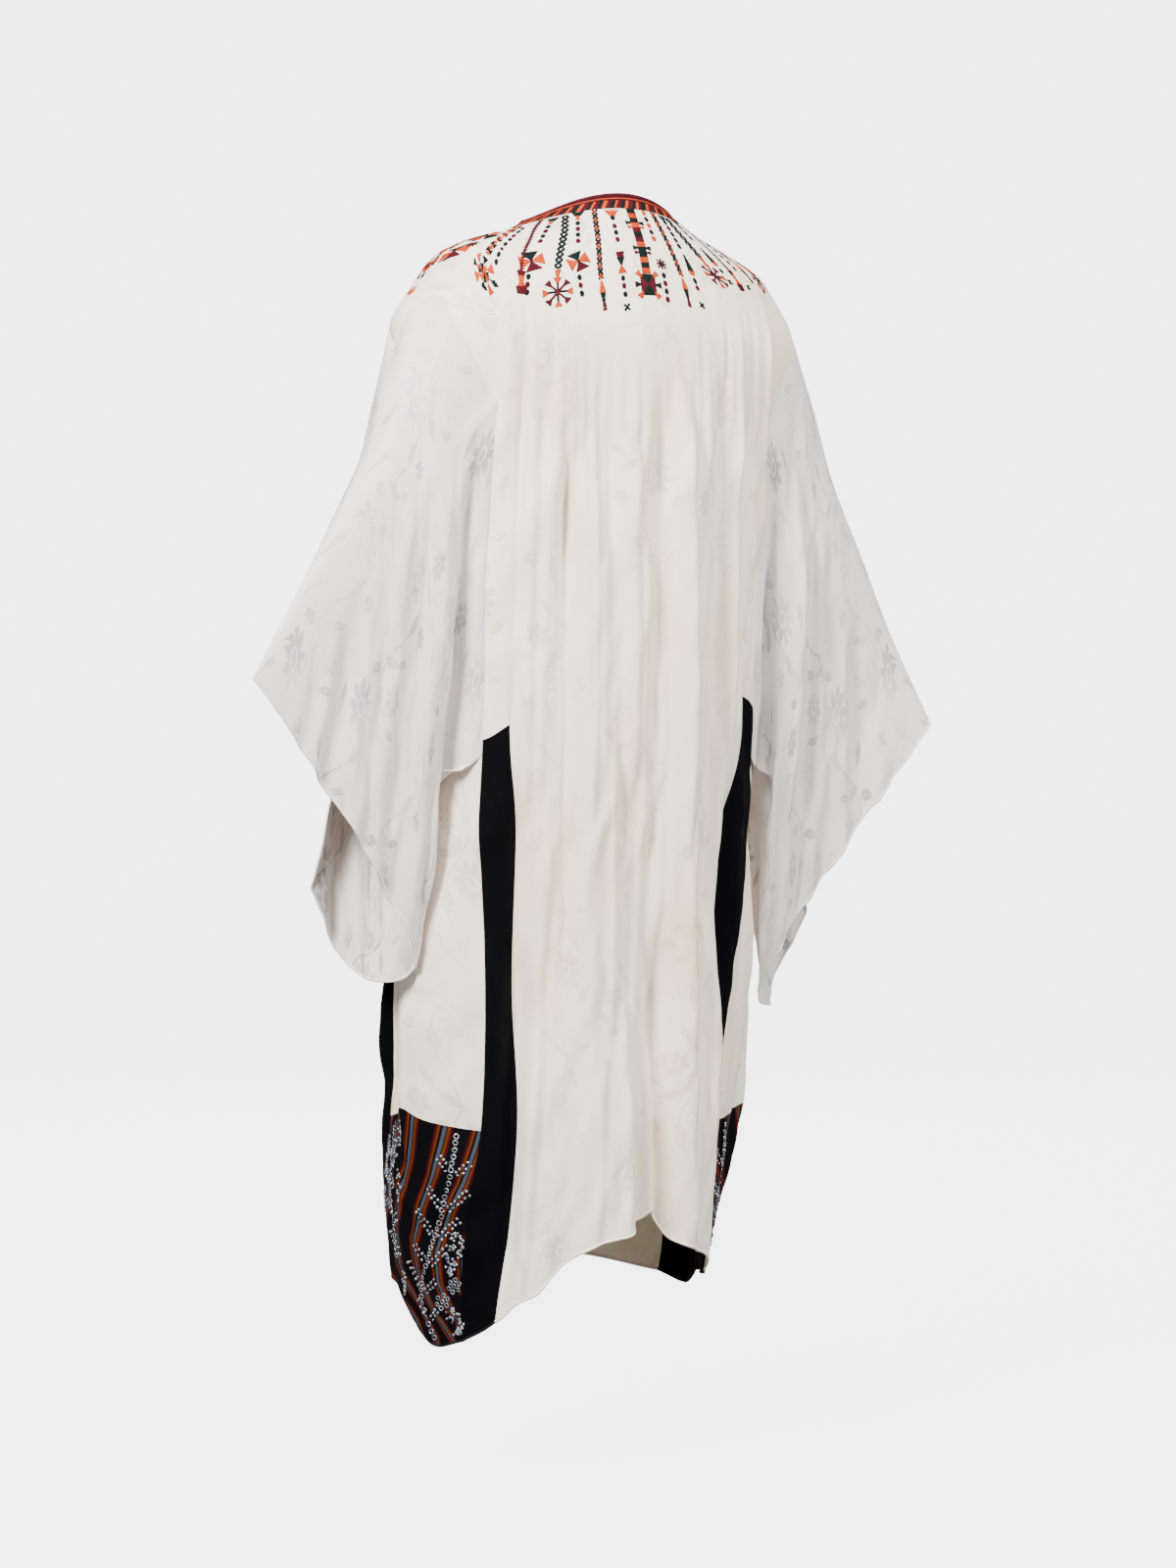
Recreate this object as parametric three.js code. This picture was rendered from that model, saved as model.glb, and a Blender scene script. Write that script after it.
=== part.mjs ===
// A wide kaftan dress of silk jacquard, filled out and hollow, as it hangs when it is worn.
// Millimetres, +Z up. The front faces -Y and the wearer's left is +X. The origin is the middle of
// the neck opening, level with the shoulders that carry the garment.
import * as THREE from "three";

// ---- Cloth ----
const WALL = 2;
const SEAM_GAP = 0.3;

// A table's rows as objects with named columns.
function tableOf(columns, rows) {
  return rows.map((row) => Object.fromEntries(columns.map((column, i) => [column, row[i]])));
}

// ---- Body: rings from the neck to the hem ----
// A ring is an oval: half its width in X, its middle in Y, its depth to the back and to the front.
const BODY_RING_COLUMNS = [
  "backZ", "sideZ", "frontZ", "halfWidth", "middleY", "backDepth", "frontDepth", "backCurve",
];
const BODY_RINGS = tableOf(BODY_RING_COLUMNS, [
  [16, -12, -85, 95, 0, 62, 85, 1],
  [-1, -21, -101, 112, 0, 74, 98, 1],
  [-45, -32, -140, 150, 0, 100, 120, 1],
  [-90, -54, -170, 198, 0, 117, 135, 1],
  [-130, -92, -195, 230, 0, 126, 142, 1],
  [-165, -144, -220, 254, 0, 128, 148, 1],
  [-240, -250, -270, 228, -3, 129, 153, 1],
  [-400, -400, -400, 212, -5, 125, 158, 1.1],
  [-575, -575, -575, 201, -15, 123, 165, 1],
  [-690, -690, -690, 197, -28, 123, 170, 0.85],
  [-860, -860, -860, 219, -48, 130, 168, 1.3],
  [-1000, -1000, -1000, 217, -55, 135, 167, 1.6],
  [-1100, -1100, -1100, 206, -76, 151, 158, 1.6],
  [-1190, -1190, -1190, 191, -93, 163, 147, 1.6],
  [-1275, -1275, -1275, 170, -98, 162, 138, 1.5],
]);
// How far from the centre line each lengthwise seam crosses the same rings. A panel seam is where the
// back or front panel ends, and a side seam is where the side's cloth begins.
const SEAM_COLUMNS = [
  "leftBackPanel", "leftBackSide", "leftFrontSide", "leftFrontPanel",
  "rightBackPanel", "rightBackSide", "rightFrontSide", "rightFrontPanel",
];
const SEAM_RINGS = tableOf(SEAM_COLUMNS, [
  [57, 72, 72, 57, 57, 72, 72, 57],
  [67, 86, 86, 67, 67, 86, 86, 67],
  [92, 117, 117, 92, 92, 117, 117, 92],
  [120, 150, 150, 120, 120, 150, 150, 120],
  [138, 165, 165, 138, 138, 165, 165, 138],
  [148, 171, 171, 148, 148, 171, 171, 148],
  [153, 174, 174, 153, 153, 174, 174, 153],
  [153, 175, 175, 153, 153, 175, 175, 153],
  [150, 172, 174, 150, 150, 178, 172, 150],
  [140, 172, 188, 150, 140, 190, 176, 150],
  [136, 160, 205, 160, 136, 158, 193, 165],
  [127, 158, 203, 163, 127, 139, 205, 178],
  [128, 161, 184, 158, 128, 137, 201, 180],
  [130, 158, 172, 150, 130, 138, 190, 173],
  [129, 148, 158, 138, 129, 136, 169, 157],
]);

// A place round the body: 0 centre back, 1 panel seam, 2 side seam, 3 middle of the side, 4 side seam
// of the front, 5 panel seam of the front, 6 centre front. The wearer's right side has the same, negative.
const PANEL_SEAM = 1;
const SIDE_SEAM = 2;
const SIDE_MIDDLE = 3;
const FRONT_SIDE_SEAM = 4;
const FRONT_PANEL_SEAM = 5;
const CENTRE_FRONT = 6;

// ---- Seams that run across, by place ----
const YOKE_EDGE = [
  { place: 0, z: -136 },
  { place: 0.3, z: -141 },
  { place: 0.6, z: -162 },
  { place: 0.8, z: -181 },
  { place: 1, z: -206 },
  { place: 2, z: -224 },
  { place: 2.25, z: -164 },
  { place: 2.5, z: -112 },
  { place: 2.75, z: -116 },
  { place: 3, z: -158 },
  { place: 3.25, z: -124 },
  { place: 3.5, z: -125 },
  { place: 3.75, z: -180 },
  { place: 4, z: -245 },
  { place: 5, z: -240 },
  { place: 6, z: -225 },
];
const STRIP_TOP = [
  { place: -6, z: -558 },
  { place: -5, z: -546 },
  { place: -4, z: -562 },
  { place: -2, z: -553 },
  { place: -1, z: -537 },
  { place: 0, z: -555 },
  { place: 1, z: -572 },
  { place: 2, z: -588 },
  { place: 4, z: -588 },
  { place: 5, z: -572 },
  { place: 6, z: -558 },
];
const UNDERARM = [
  { place: 0, z: -600 },
  { place: 2, z: -604 },
  { place: 3, z: -630 },
  { place: 4, z: -604 },
  { place: 6, z: -600 },
];
const HEM_PANEL_TOP = [
  { place: 0, z: -1010 },
  { place: 2, z: -1017 },
  { place: 3, z: -994 },
  { place: 4, z: -1008 },
  { place: 6, z: -1005 },
];
const HEM = [
  { place: -6, z: -1186 },
  { place: -5.5, z: -1194 },
  { place: -5, z: -1210 },
  { place: -4, z: -1220 },
  { place: -3, z: -1206 },
  { place: -2, z: -1194 },
  { place: -1, z: -1188 },
  { place: -0.85, z: -1166 },
  { place: -0.7, z: -1158 },
  { place: -0.5, z: -1146 },
  { place: -0.42, z: -1128 },
  { place: -0.36, z: -1111 },
  { place: -0.28, z: -1112 },
  { place: -0.2, z: -1122 },
  { place: 0, z: -1133 },
  { place: 0.3, z: -1143 },
  { place: 0.5, z: -1160 },
  { place: 0.62, z: -1180 },
  { place: 0.72, z: -1198 },
  { place: 0.85, z: -1208 },
  { place: 1, z: -1230 },
  { place: 2, z: -1254 },
  { place: 2.5, z: -1263 },
  { place: 3, z: -1241 },
  { place: 3.4, z: -1206 },
  { place: 4, z: -1188 },
  { place: 5, z: -1182 },
  { place: 6, z: -1186 },
];

// ---- Largest folds of the body ----
// A fold runs from one height to another at a distance from the centre line, + to the wearer's left.
// Its rise is how far the cloth stands out (+) or dips in (-), which fades in below its top end.
const BACK_FOLDS = [
  { topX: 97, topZ: -210, bottomX: 120, bottomZ: -900, spread: 13, rise: -12 },
  { topX: 118, topZ: -260, bottomX: 112, bottomZ: -1240, spread: 12, rise: 7 },
  { topX: 140, topZ: -560, bottomX: 128, bottomZ: -1120, spread: 11, rise: -18 },
  { topX: -140, topZ: -560, bottomX: -136, bottomZ: -800, spread: 11, rise: -18 },
  { topX: 92, topZ: -300, bottomX: 76, bottomZ: -1180, spread: 16, rise: -9 },
  { topX: 75, topZ: -240, bottomX: 50, bottomZ: -1160, spread: 17, rise: 9 },
  { topX: 60, topZ: -180, bottomX: -22, bottomZ: -1130, spread: 13, rise: -13 },
  { topX: 30, topZ: -200, bottomX: 8, bottomZ: -1130, spread: 16, rise: 8 },
  { topX: -8, topZ: -170, bottomX: -26, bottomZ: -1130, spread: 14, rise: -13 },
  { topX: -37, topZ: -180, bottomX: -86, bottomZ: -1150, spread: 15, rise: 14 },
  { topX: -80, topZ: -250, bottomX: -106, bottomZ: -900, spread: 13, rise: -8 },
  { topX: -107, topZ: -220, bottomX: -108, bottomZ: -720, spread: 11, rise: -13 },
  { topX: -112, topZ: -760, bottomX: -118, bottomZ: -1240, spread: 15, rise: 13 },
];
const DEEP_FOLD = { topX: -32, topZ: -760, bottomX: -56, bottomZ: -1140, spread: 13, rise: -26 };
const FRONT_FOLDS = [
  { topX: 95, topZ: -280, bottomX: 112, bottomZ: -1190, spread: 18, rise: -12 },
  { topX: 62, topZ: -250, bottomX: 70, bottomZ: -1190, spread: 20, rise: 12 },
  { topX: 30, topZ: -240, bottomX: 28, bottomZ: -1190, spread: 17, rise: -12 },
  { topX: -4, topZ: -240, bottomX: -10, bottomZ: -1190, spread: 20, rise: 12 },
  { topX: -38, topZ: -250, bottomX: -48, bottomZ: -1190, spread: 17, rise: -12 },
  { topX: -75, topZ: -260, bottomX: -92, bottomZ: -1190, spread: 20, rise: 11 },
];
// A fold of a side is placed by its distance in Y instead.
const SIDE_FOLDS = [
  { topY: -38, topZ: -640, bottomY: -100, bottomZ: -960, spread: 20, rise: -11 },
  { topY: 5, topZ: -660, bottomY: -30, bottomZ: -1000, spread: 18, rise: 6 },
  { topY: -120, topZ: -680, bottomY: -150, bottomZ: -1180, spread: 24, rise: 8 },
];
// A fold fades in over FOLD_FADE below its top. Back and front folds change over within
// BACK_FRONT_BLEND of a ring's middle, and side folds start SIDE_FOLD_X out from the centre line.
const FOLD_FADE = 130;
const BACK_FRONT_BLEND = 60;
const SIDE_FOLD_X = 150;
const SIDE_FOLD_BLEND = 40;

// ---- Sleeves: sections from near the shoulder to the cuff ----
// A section hangs from a top point to a bottom point. Its back and front layers stand off the line
// between them by a distance outwards in X and in Y.
const SLEEVE_SECTION_COLUMNS = [
  "topX", "topY", "topZ", "bottomX", "bottomY", "bottomZ",
  "backX", "backY", "backSag", "frontX", "frontY", "frontTuck", "frontSag",
];
const SLEEVE_SECTIONS = tableOf(SLEEVE_SECTION_COLUMNS, [
  [276, 11, -205, 216, -10, -664, -20, 60, 1, -10, -96, 0, 1],
  [299, 19, -278, 221, -14, -714, -22, 48, 1, -6, -86, 0, 1],
  [340, 21, -354, 227, -20, -760, -30, 36, 1.1, -2, -78, -12, 1.3],
  [385, 21, -438, 238, -26, -808, -38, 26, 1.6, 8, -64, -44, 2],
  [437, 27, -524, 252, -34, -852, -46, 18, 2, 16, -52, -78, 2.6],
]);
// The front layer is tucked inwards down to this share of its way round. The powers say how full each
// layer stands off near the top and bottom.
const TUCK_END = 0.62;
const FULLNESS_X = 0.8;
const FULLNESS_Y = 0.6;
const FRONT_LEAN_Y = 1.3;
// A sleeve's folds fade in by this station from the armhole, and clear of its top and bottom edges.
const SLEEVE_FOLDS_FROM = 0.6;
const TOP_CLEAR = { from: 0.12, over: 0.25 };
const BOTTOM_CLEAR = 0.15;
// How much lower the cuff hangs on each side.
const SLEEVE_HANG = { left: 0, right: -40 };
// Folds of a sleeve's back and front layer, placed by the distance in X from the centre line.
const SLEEVE_BACK_FOLDS = [
  { topX: 186, topZ: -220, bottomX: 203, bottomZ: -600, spread: 12, rise: -30 },
  { topX: 226, topZ: -270, bottomX: 240, bottomZ: -790, spread: 14, rise: 10 },
  { topX: 250, topZ: -300, bottomX: 266, bottomZ: -760, spread: 14, rise: -8 },
  { topX: 318, topZ: -400, bottomX: 346, bottomZ: -660, spread: 15, rise: -10 },
];
const SLEEVE_FRONT_FOLDS = [
  { topX: 215, topZ: -260, bottomX: 238, bottomZ: -800, spread: 16, rise: -13 },
  { topX: 262, topZ: -320, bottomX: 290, bottomZ: -800, spread: 17, rise: 9 },
];

// ---- How finely each stretch of cloth is divided ----
const CELLS_ROUND = { backPanel: 20, strip: 2, side: 8, frontPanel: 14 };
const CELL_ROWS = { neck: 1, yoke: 6, upper: 8, notch: 1, lower: 7, hem: 5 };
const SLEEVE_STEPS = [0, 0.25, 0.5, 0.75, 1, 1.4, 1.8, 2.2, 2.6, 3, 3.4, 3.8, 4.2, 4.6, 5];

// ---- Cloth colours ----
const CLOTHS = {
  ivoryJacquard: { color: 0xe4dcd4, roughness: 0.5, metalness: 0 },
  coolJacquard: { color: 0xd6d2d2, roughness: 0.5, metalness: 0 },
  blackCrepe: { color: 0x14121a, roughness: 0.8, metalness: 0 },
  stripedCloth: { color: 0x2a1218, roughness: 0.7, metalness: 0 },
  embroideredBand: { color: 0x64142a, roughness: 0.7, metalness: 0 },
};

// ---------------------------------------------------------------- helpers

const mix = (a, b, share) => a + (b - a) * share;
const clamp = (x, low, high) => Math.min(high, Math.max(low, x));
const smooth = (x) => clamp(x, 0, 1) ** 2 * (3 - 2 * clamp(x, 0, 1));

// A smooth curve through the rows of a table: the value of a column where the key column reads `at`.
function readTable(rows, key, column, at) {
  const last = rows.length - 1;
  const x = (i) => (key === null ? i : rows[i][key]);
  const y = (i) => rows[i][column];
  let i = 0;
  while (i < last - 1 && at > x(i + 1)) i += 1;
  const slope = (j) => {
    const before = Math.max(j - 1, 0);
    const after = Math.min(j + 1, last);
    return (y(after) - y(before)) / (x(after) - x(before));
  };
  const width = x(i + 1) - x(i);
  const t = clamp((at - x(i)) / width, 0, 1);
  const t2 = t * t;
  const t3 = t2 * t;
  const start = (2 * t3 - 3 * t2 + 1) * y(i) + (t3 - 2 * t2 + t) * slope(i) * width;
  return start + (3 * t2 - 2 * t3) * y(i + 1) + (t3 - t2) * slope(i + 1) * width;
}

// How far all the folds of a table move the cloth at a place `across` and a height z.
function foldRise(folds, axis, across, z) {
  let rise = 0;
  for (const fold of folds) {
    const along = clamp((fold.topZ - z) / (fold.topZ - fold.bottomZ), 0, 1);
    const centre = mix(fold["top" + axis], fold["bottom" + axis], along);
    const fadeIn = smooth((fold.topZ - z) / FOLD_FADE);
    const fadeOut = 1 - smooth((fold.bottomZ - z) / FOLD_FADE);
    rise += fold.rise * fadeIn * fadeOut * Math.exp(-(((across - centre) / fold.spread) ** 2));
  }
  return rise;
}

// ---------------------------------------------------------------- body

// A table's sizes at a distance of `ring` rows down it.
function sizesAt(table, ring) {
  const sizes = {};
  for (const column of Object.keys(table[0])) sizes[column] = readTable(table, null, column, ring);
  return sizes;
}

// The angle of a place on a ring: 0 at centre back, 90 degrees at the side, 180 at centre front.
function angleOf(place, ring, halfWidth) {
  const seams = sizesAt(SEAM_RINGS, ring);
  const side = place < 0 ? "right" : "left";
  const angle = (seam) => Math.asin(seams[side + seam] / halfWidth);
  const back = [0, angle("BackPanel"), angle("BackSide"), Math.PI / 2];
  const front = [Math.PI - angle("FrontSide"), Math.PI - angle("FrontPanel"), Math.PI];
  const stops = [...back, ...front];
  const from = Math.min(Math.floor(Math.abs(place)), CENTRE_FRONT - 1);
  return mix(stops[from], stops[from + 1], Math.abs(place) - from);
}

// The plain body without its folds.
function bodyPoint(place, ring) {
  const sizes = sizesAt(BODY_RINGS, ring);
  const angle = angleOf(place, ring, sizes.halfWidth);
  const toBack = Math.cos(angle);
  const depth = toBack >= 0 ? sizes.backDepth : sizes.frontDepth;
  const endZ = toBack >= 0 ? sizes.backZ : sizes.frontZ;
  return new THREE.Vector3(
    Math.sign(place) * sizes.halfWidth * Math.sin(angle),
    sizes.middleY + depth * Math.sign(toBack) * Math.abs(toBack) ** (toBack >= 0 ? sizes.backCurve : 1),
    mix(sizes.sideZ, endZ, toBack * toBack),
  );
}

// Where the plain body reaches the height z at a place, as a distance down the table of rings.
function ringAtHeight(place, z) {
  let low = 0;
  let high = BODY_RINGS.length - 1;
  for (let step = 0; step < 30; step += 1) {
    const middle = (low + high) / 2;
    if (bodyPoint(place, middle).z > z) low = middle;
    else high = middle;
  }
  return low;
}

// The places of the grid's columns, once round from centre front over the wearer's right side.
function columnPlaces() {
  const half = CELLS_ROUND.frontPanel / 2;
  const stretches = [
    [-CENTRE_FRONT, -FRONT_PANEL_SEAM, half],
    [-FRONT_PANEL_SEAM, -FRONT_SIDE_SEAM, CELLS_ROUND.strip],
    [-FRONT_SIDE_SEAM, -SIDE_SEAM, CELLS_ROUND.side],
    [-SIDE_SEAM, -PANEL_SEAM, CELLS_ROUND.strip],
    [-PANEL_SEAM, PANEL_SEAM, CELLS_ROUND.backPanel],
    [PANEL_SEAM, SIDE_SEAM, CELLS_ROUND.strip],
    [SIDE_SEAM, FRONT_SIDE_SEAM, CELLS_ROUND.side],
    [FRONT_SIDE_SEAM, FRONT_PANEL_SEAM, CELLS_ROUND.strip],
    [FRONT_PANEL_SEAM, CENTRE_FRONT, half],
  ];
  const places = [];
  for (const [from, to, cells] of stretches) {
    for (let i = 0; i < cells; i += 1) places.push(mix(from, to, i / cells));
  }
  return places;
}

// The rings that the grid's rows follow at a place: the seams across, and even steps between them.
function rowRings(place) {
  const side = Math.abs(place);
  const seams = [
    0,
    1,
    ringAtHeight(place, readTable(YOKE_EDGE, "place", "z", side)),
    ringAtHeight(place, readTable(STRIP_TOP, "place", "z", place)),
    ringAtHeight(place, readTable(UNDERARM, "place", "z", side)),
    ringAtHeight(place, readTable(HEM_PANEL_TOP, "place", "z", side)),
    ringAtHeight(place, readTable(HEM, "place", "z", place)),
  ];
  const rings = [];
  Object.values(CELL_ROWS).forEach((cells, band) => {
    for (let i = 0; i < cells; i += 1) rings.push(mix(seams[band], seams[band + 1], i / cells));
  });
  rings.push(seams[seams.length - 1]);
  return rings;
}

// Each band's first row, and the hem's row last.
const BAND_STARTS = Object.values(CELL_ROWS).reduce(
  (starts, cells) => [...starts, starts.at(-1) + cells],
  [0],
);
const [, , YOKE_END_ROW, , UNDERARM_ROW] = BAND_STARTS;
const ROW_COUNT = BAND_STARTS.at(-1) + 1;

// How far the body's folds move the cloth at a point of the plain body.
function bodyFold(point) {
  const towards = clamp((point.y - bodyMiddleY(point.z)) / BACK_FRONT_BLEND, -1, 1);
  const back = foldRise([...BACK_FOLDS, DEEP_FOLD], "X", point.x, point.z) * smooth(towards);
  const front = foldRise(FRONT_FOLDS, "X", point.x, point.z) * smooth(-towards);
  const sideways = smooth((Math.abs(point.x) - SIDE_FOLD_X) / SIDE_FOLD_BLEND);
  return back + front + foldRise(SIDE_FOLDS, "Y", point.y, point.z) * sideways;
}

function bodyMiddleY(z) {
  const ring = ringAtHeight(SIDE_MIDDLE, z);
  return readTable(BODY_RINGS, null, "middleY", ring);
}

// A grid's points moved along its normals by fold(point).
function withFolds(grid, fold) {
  const normals = gridNormals(grid);
  return {
    ...grid,
    points: grid.points.map((row, i) =>
      row.map((point, j) => point.clone().addScaledVector(normals[i][j], fold(point, i, j))),
    ),
  };
}

// Outward unit normals of a grid whose rows close on themselves, with row steps going down or outwards.
function gridNormals(grid) {
  const { points } = grid;
  const last = points.length - 1;
  return points.map((row, i) =>
    row.map((_, j) => {
      const around = new THREE.Vector3().subVectors(
        row[(j + 1) % row.length],
        row[(j + row.length - 1) % row.length],
      );
      const below = points[Math.min(i + 1, last)][j];
      const down = new THREE.Vector3().subVectors(below, points[Math.max(i - 1, 0)][j]);
      return around.cross(down).multiplyScalar(grid.outward).normalize();
    }),
  );
}

function bodyGrid() {
  const places = columnPlaces();
  const rings = places.map(rowRings);
  const plain = [];
  for (let row = 0; row < ROW_COUNT; row += 1) {
    plain.push(places.map((place, column) => bodyPoint(place, rings[column][row])));
  }
  return withFolds({ points: plain, places, outward: 1 }, bodyFold);
}

// ---------------------------------------------------------------- sleeves

// The body grid's points round one armhole, from the top of the shoulder down the back seam.
function armholeLoop(places, sign) {
  const at = (place) => places.findIndex((p) => Math.abs(p - sign * place) < 1e-9);
  const half = CELLS_ROUND.side / 2;
  const loop = [];
  for (let i = 0; i < half; i += 1) loop.push([YOKE_END_ROW, at(SIDE_MIDDLE) - sign * i]);
  for (let row = YOKE_END_ROW; row < UNDERARM_ROW; row += 1) loop.push([row, at(SIDE_SEAM)]);
  for (let i = 0; i < 2 * half; i += 1) loop.push([UNDERARM_ROW, at(SIDE_SEAM) + sign * i]);
  for (let row = UNDERARM_ROW; row > YOKE_END_ROW; row -= 1) loop.push([row, at(FRONT_SIDE_SEAM)]);
  for (let i = 0; i < half; i += 1) loop.push([YOKE_END_ROW, at(FRONT_SIDE_SEAM) - sign * i]);
  return loop;
}

// How far down each point of a loop is, 0 at the top and 1 at the bottom, by length on each side.
function downShares(loop, bottomIndex) {
  const step = (i) => loop[i].distanceTo(loop[(i + 1) % loop.length]);
  const lengths = loop.map((_, i) => step(i));
  const sum = (from, to) => lengths.slice(from, to).reduce((a, b) => a + b, 0);
  return loop.map((_, i) => {
    if (i <= bottomIndex) return sum(0, i) / sum(0, bottomIndex);
    return 1 - sum(bottomIndex, i) / sum(bottomIndex, loop.length);
  });
}

function sleeveSectionPoint(section, share, isBack, sign, drop) {
  const down = (1 - Math.cos(Math.PI * share)) / 2;
  const sag = isBack ? section.backSag : section.frontSag;
  const leanY = isBack ? (1 + sag) / 2 : FRONT_LEAN_Y;
  const standX = Math.sin(Math.PI * share ** sag) ** FULLNESS_X;
  const standY = Math.sin(Math.PI * share ** leanY) ** FULLNESS_Y;
  const tuck = isBack ? 0 : section.frontTuck * Math.sin(Math.PI * Math.min(share / TUCK_END, 1));
  const offX = (isBack ? section.backX : section.frontX) * standX + tuck;
  const offY = (isBack ? section.backY : section.frontY) * standY;
  return new THREE.Vector3(
    sign * (mix(section.topX, section.bottomX, down) + offX),
    mix(section.topY, section.bottomY, down) + offY,
    mix(section.topZ, section.bottomZ, down) + drop,
  );
}

function sleeveGrid(body, side) {
  const sign = side === "left" ? 1 : -1;
  const armhole = armholeLoop(body.places, sign);
  const loop = armhole.map(([row, column]) => body.points[row][column]);
  const bottomIndex = armhole.length / 2;
  const shares = downShares(loop, bottomIndex);
  const stations = [loop];
  SLEEVE_SECTIONS.forEach((section, i) => {
    const drop = SLEEVE_HANG[side] * ((i + 1) / SLEEVE_SECTIONS.length) ** 2;
    const pointOf = (share, j) => sleeveSectionPoint(section, share, j <= bottomIndex, sign, drop);
    stations.push(shares.map(pointOf));
  });
  const points = SLEEVE_STEPS.map((step) =>
    loop.map((_, j) => {
      const track = stations.map((station) => station[j]);
      return new THREE.Vector3(
        readTable(track, null, "x", step),
        readTable(track, null, "y", step),
        readTable(track, null, "z", step),
      );
    }),
  );
  const fold = (point, i, j) => {
    const folds = j <= bottomIndex ? SLEEVE_BACK_FOLDS : SLEEVE_FRONT_FOLDS;
    const belowTop = smooth((shares[j] - TOP_CLEAR.from) / TOP_CLEAR.over);
    const aboveBottom = smooth((1 - shares[j]) / BOTTOM_CLEAR);
    const fade = smooth(SLEEVE_STEPS[i] / SLEEVE_FOLDS_FROM) * belowTop * aboveBottom;
    return foldRise(folds, "X", Math.abs(point.x), point.z) * fade;
  };
  return { ...withFolds({ points, outward: -sign }, fold), armhole };
}

// ---------------------------------------------------------------- solids

// A closed wall from the cells of a grid that `takes(row, column)` accepts. The wall's outer face
// follows the grid, and each edge of the piece stands back by half the seam gap. A cell is split along
// its shorter diagonal.
function clothGeometry(grid, normals, takes) {
  const { points } = grid;
  const columns = points[0].length;
  const corners = new Map();
  const positions = [];
  const triangles = [];
  const key = (row, column) => row * columns + (column % columns);
  const pointAt = (k) => points[Math.floor(k / columns)][k % columns];
  const normalAt = (k) => normals[Math.floor(k / columns)][k % columns];

  const quads = [];
  for (let row = 0; row < points.length - 1; row += 1) {
    for (let column = 0; column < columns; column += 1) {
      if (!takes(row, column)) continue;
      const quad = [key(row, column), key(row + 1, column), key(row + 1, column + 1), key(row, column + 1)];
      quads.push(grid.outward > 0 ? quad.reverse() : quad);
    }
  }
  const edges = new Map();
  for (const quad of quads) {
    quad.forEach((a, i) => edges.set(`${a},${quad[(i + 1) % 4]}`, [a, quad[(i + 1) % 4]]));
  }
  const rim = [...edges.values()].filter(([a, b]) => !edges.has(`${b},${a}`));

  const inwards = new Map();
  for (const [a, b] of rim) {
    const along = new THREE.Vector3().subVectors(pointAt(b), pointAt(a));
    for (const k of [a, b]) {
      const inward = normalAt(k).clone().cross(along).normalize();
      inwards.set(k, [...(inwards.get(k) ?? []), inward]);
    }
  }
  const standBack = (k) => {
    const [first, second = first] = inwards.get(k) ?? [new THREE.Vector3()];
    const sum = first.clone().add(second);
    return sum.multiplyScalar(SEAM_GAP / 2 / Math.max(1 + first.dot(second), 0.4));
  };
  const vertex = (k, inner) => {
    const name = `${k},${inner}`;
    if (!corners.has(name)) {
      const place = pointAt(k).clone().add(standBack(k));
      if (inner) place.addScaledVector(normalAt(k), -WALL);
      corners.set(name, positions.length / 3);
      positions.push(place.x, place.y, place.z);
    }
    return corners.get(name);
  };
  for (const quad of quads) {
    const [a, b, c, d] = quad.map(pointAt);
    const turned = a.distanceTo(c) <= b.distanceTo(d) ? quad : [...quad.slice(1), quad[0]];
    const outer = turned.map((k) => vertex(k, false));
    const inner = turned.map((k) => vertex(k, true));
    triangles.push(outer[0], outer[1], outer[2], outer[0], outer[2], outer[3]);
    triangles.push(inner[0], inner[2], inner[1], inner[0], inner[3], inner[2]);
  }
  // Each edge face is split by the diagonal from its higher end, the same on both sides of a seam.
  const height = (k) => pointAt(k).z + pointAt(k).x / 10;
  for (const [a, b] of rim) {
    const [outerA, outerB] = [vertex(a, false), vertex(b, false)];
    const [innerA, innerB] = [vertex(a, true), vertex(b, true)];
    if (height(a) > height(b)) triangles.push(outerA, innerA, innerB, outerA, innerB, outerB);
    else triangles.push(outerA, innerA, outerB, outerB, innerA, innerB);
  }
  const geometry = new THREE.BufferGeometry();
  geometry.setAttribute("position", new THREE.Float32BufferAttribute(positions, 3));
  geometry.setIndex(triangles);
  geometry.computeVertexNormals();
  return geometry;
}

// At each armhole the body's and the sleeve's normals are made one where the cloth runs on smoothly,
// so that both walls end on the same face.
const SMOOTH_JOIN = 0.4;
function joinNormals(bodyNormals, sleeve, sleeveNormals) {
  sleeve.armhole.forEach(([row, column], j) => {
    const own = sleeveNormals[0][j];
    const body = bodyNormals[row][column];
    if (own.dot(body) < SMOOTH_JOIN) return;
    own.add(body).normalize();
    body.copy(own);
  });
}

// ---------------------------------------------------------------- the dress

const body = bodyGrid();
const bodyNormals = gridNormals(body);
const sleeves = { left: sleeveGrid(body, "left"), right: sleeveGrid(body, "right") };
const sleeveNormals = { left: gridNormals(sleeves.left), right: gridNormals(sleeves.right) };
for (const side of ["left", "right"]) joinNormals(bodyNormals, sleeves[side], sleeveNormals[side]);

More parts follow.
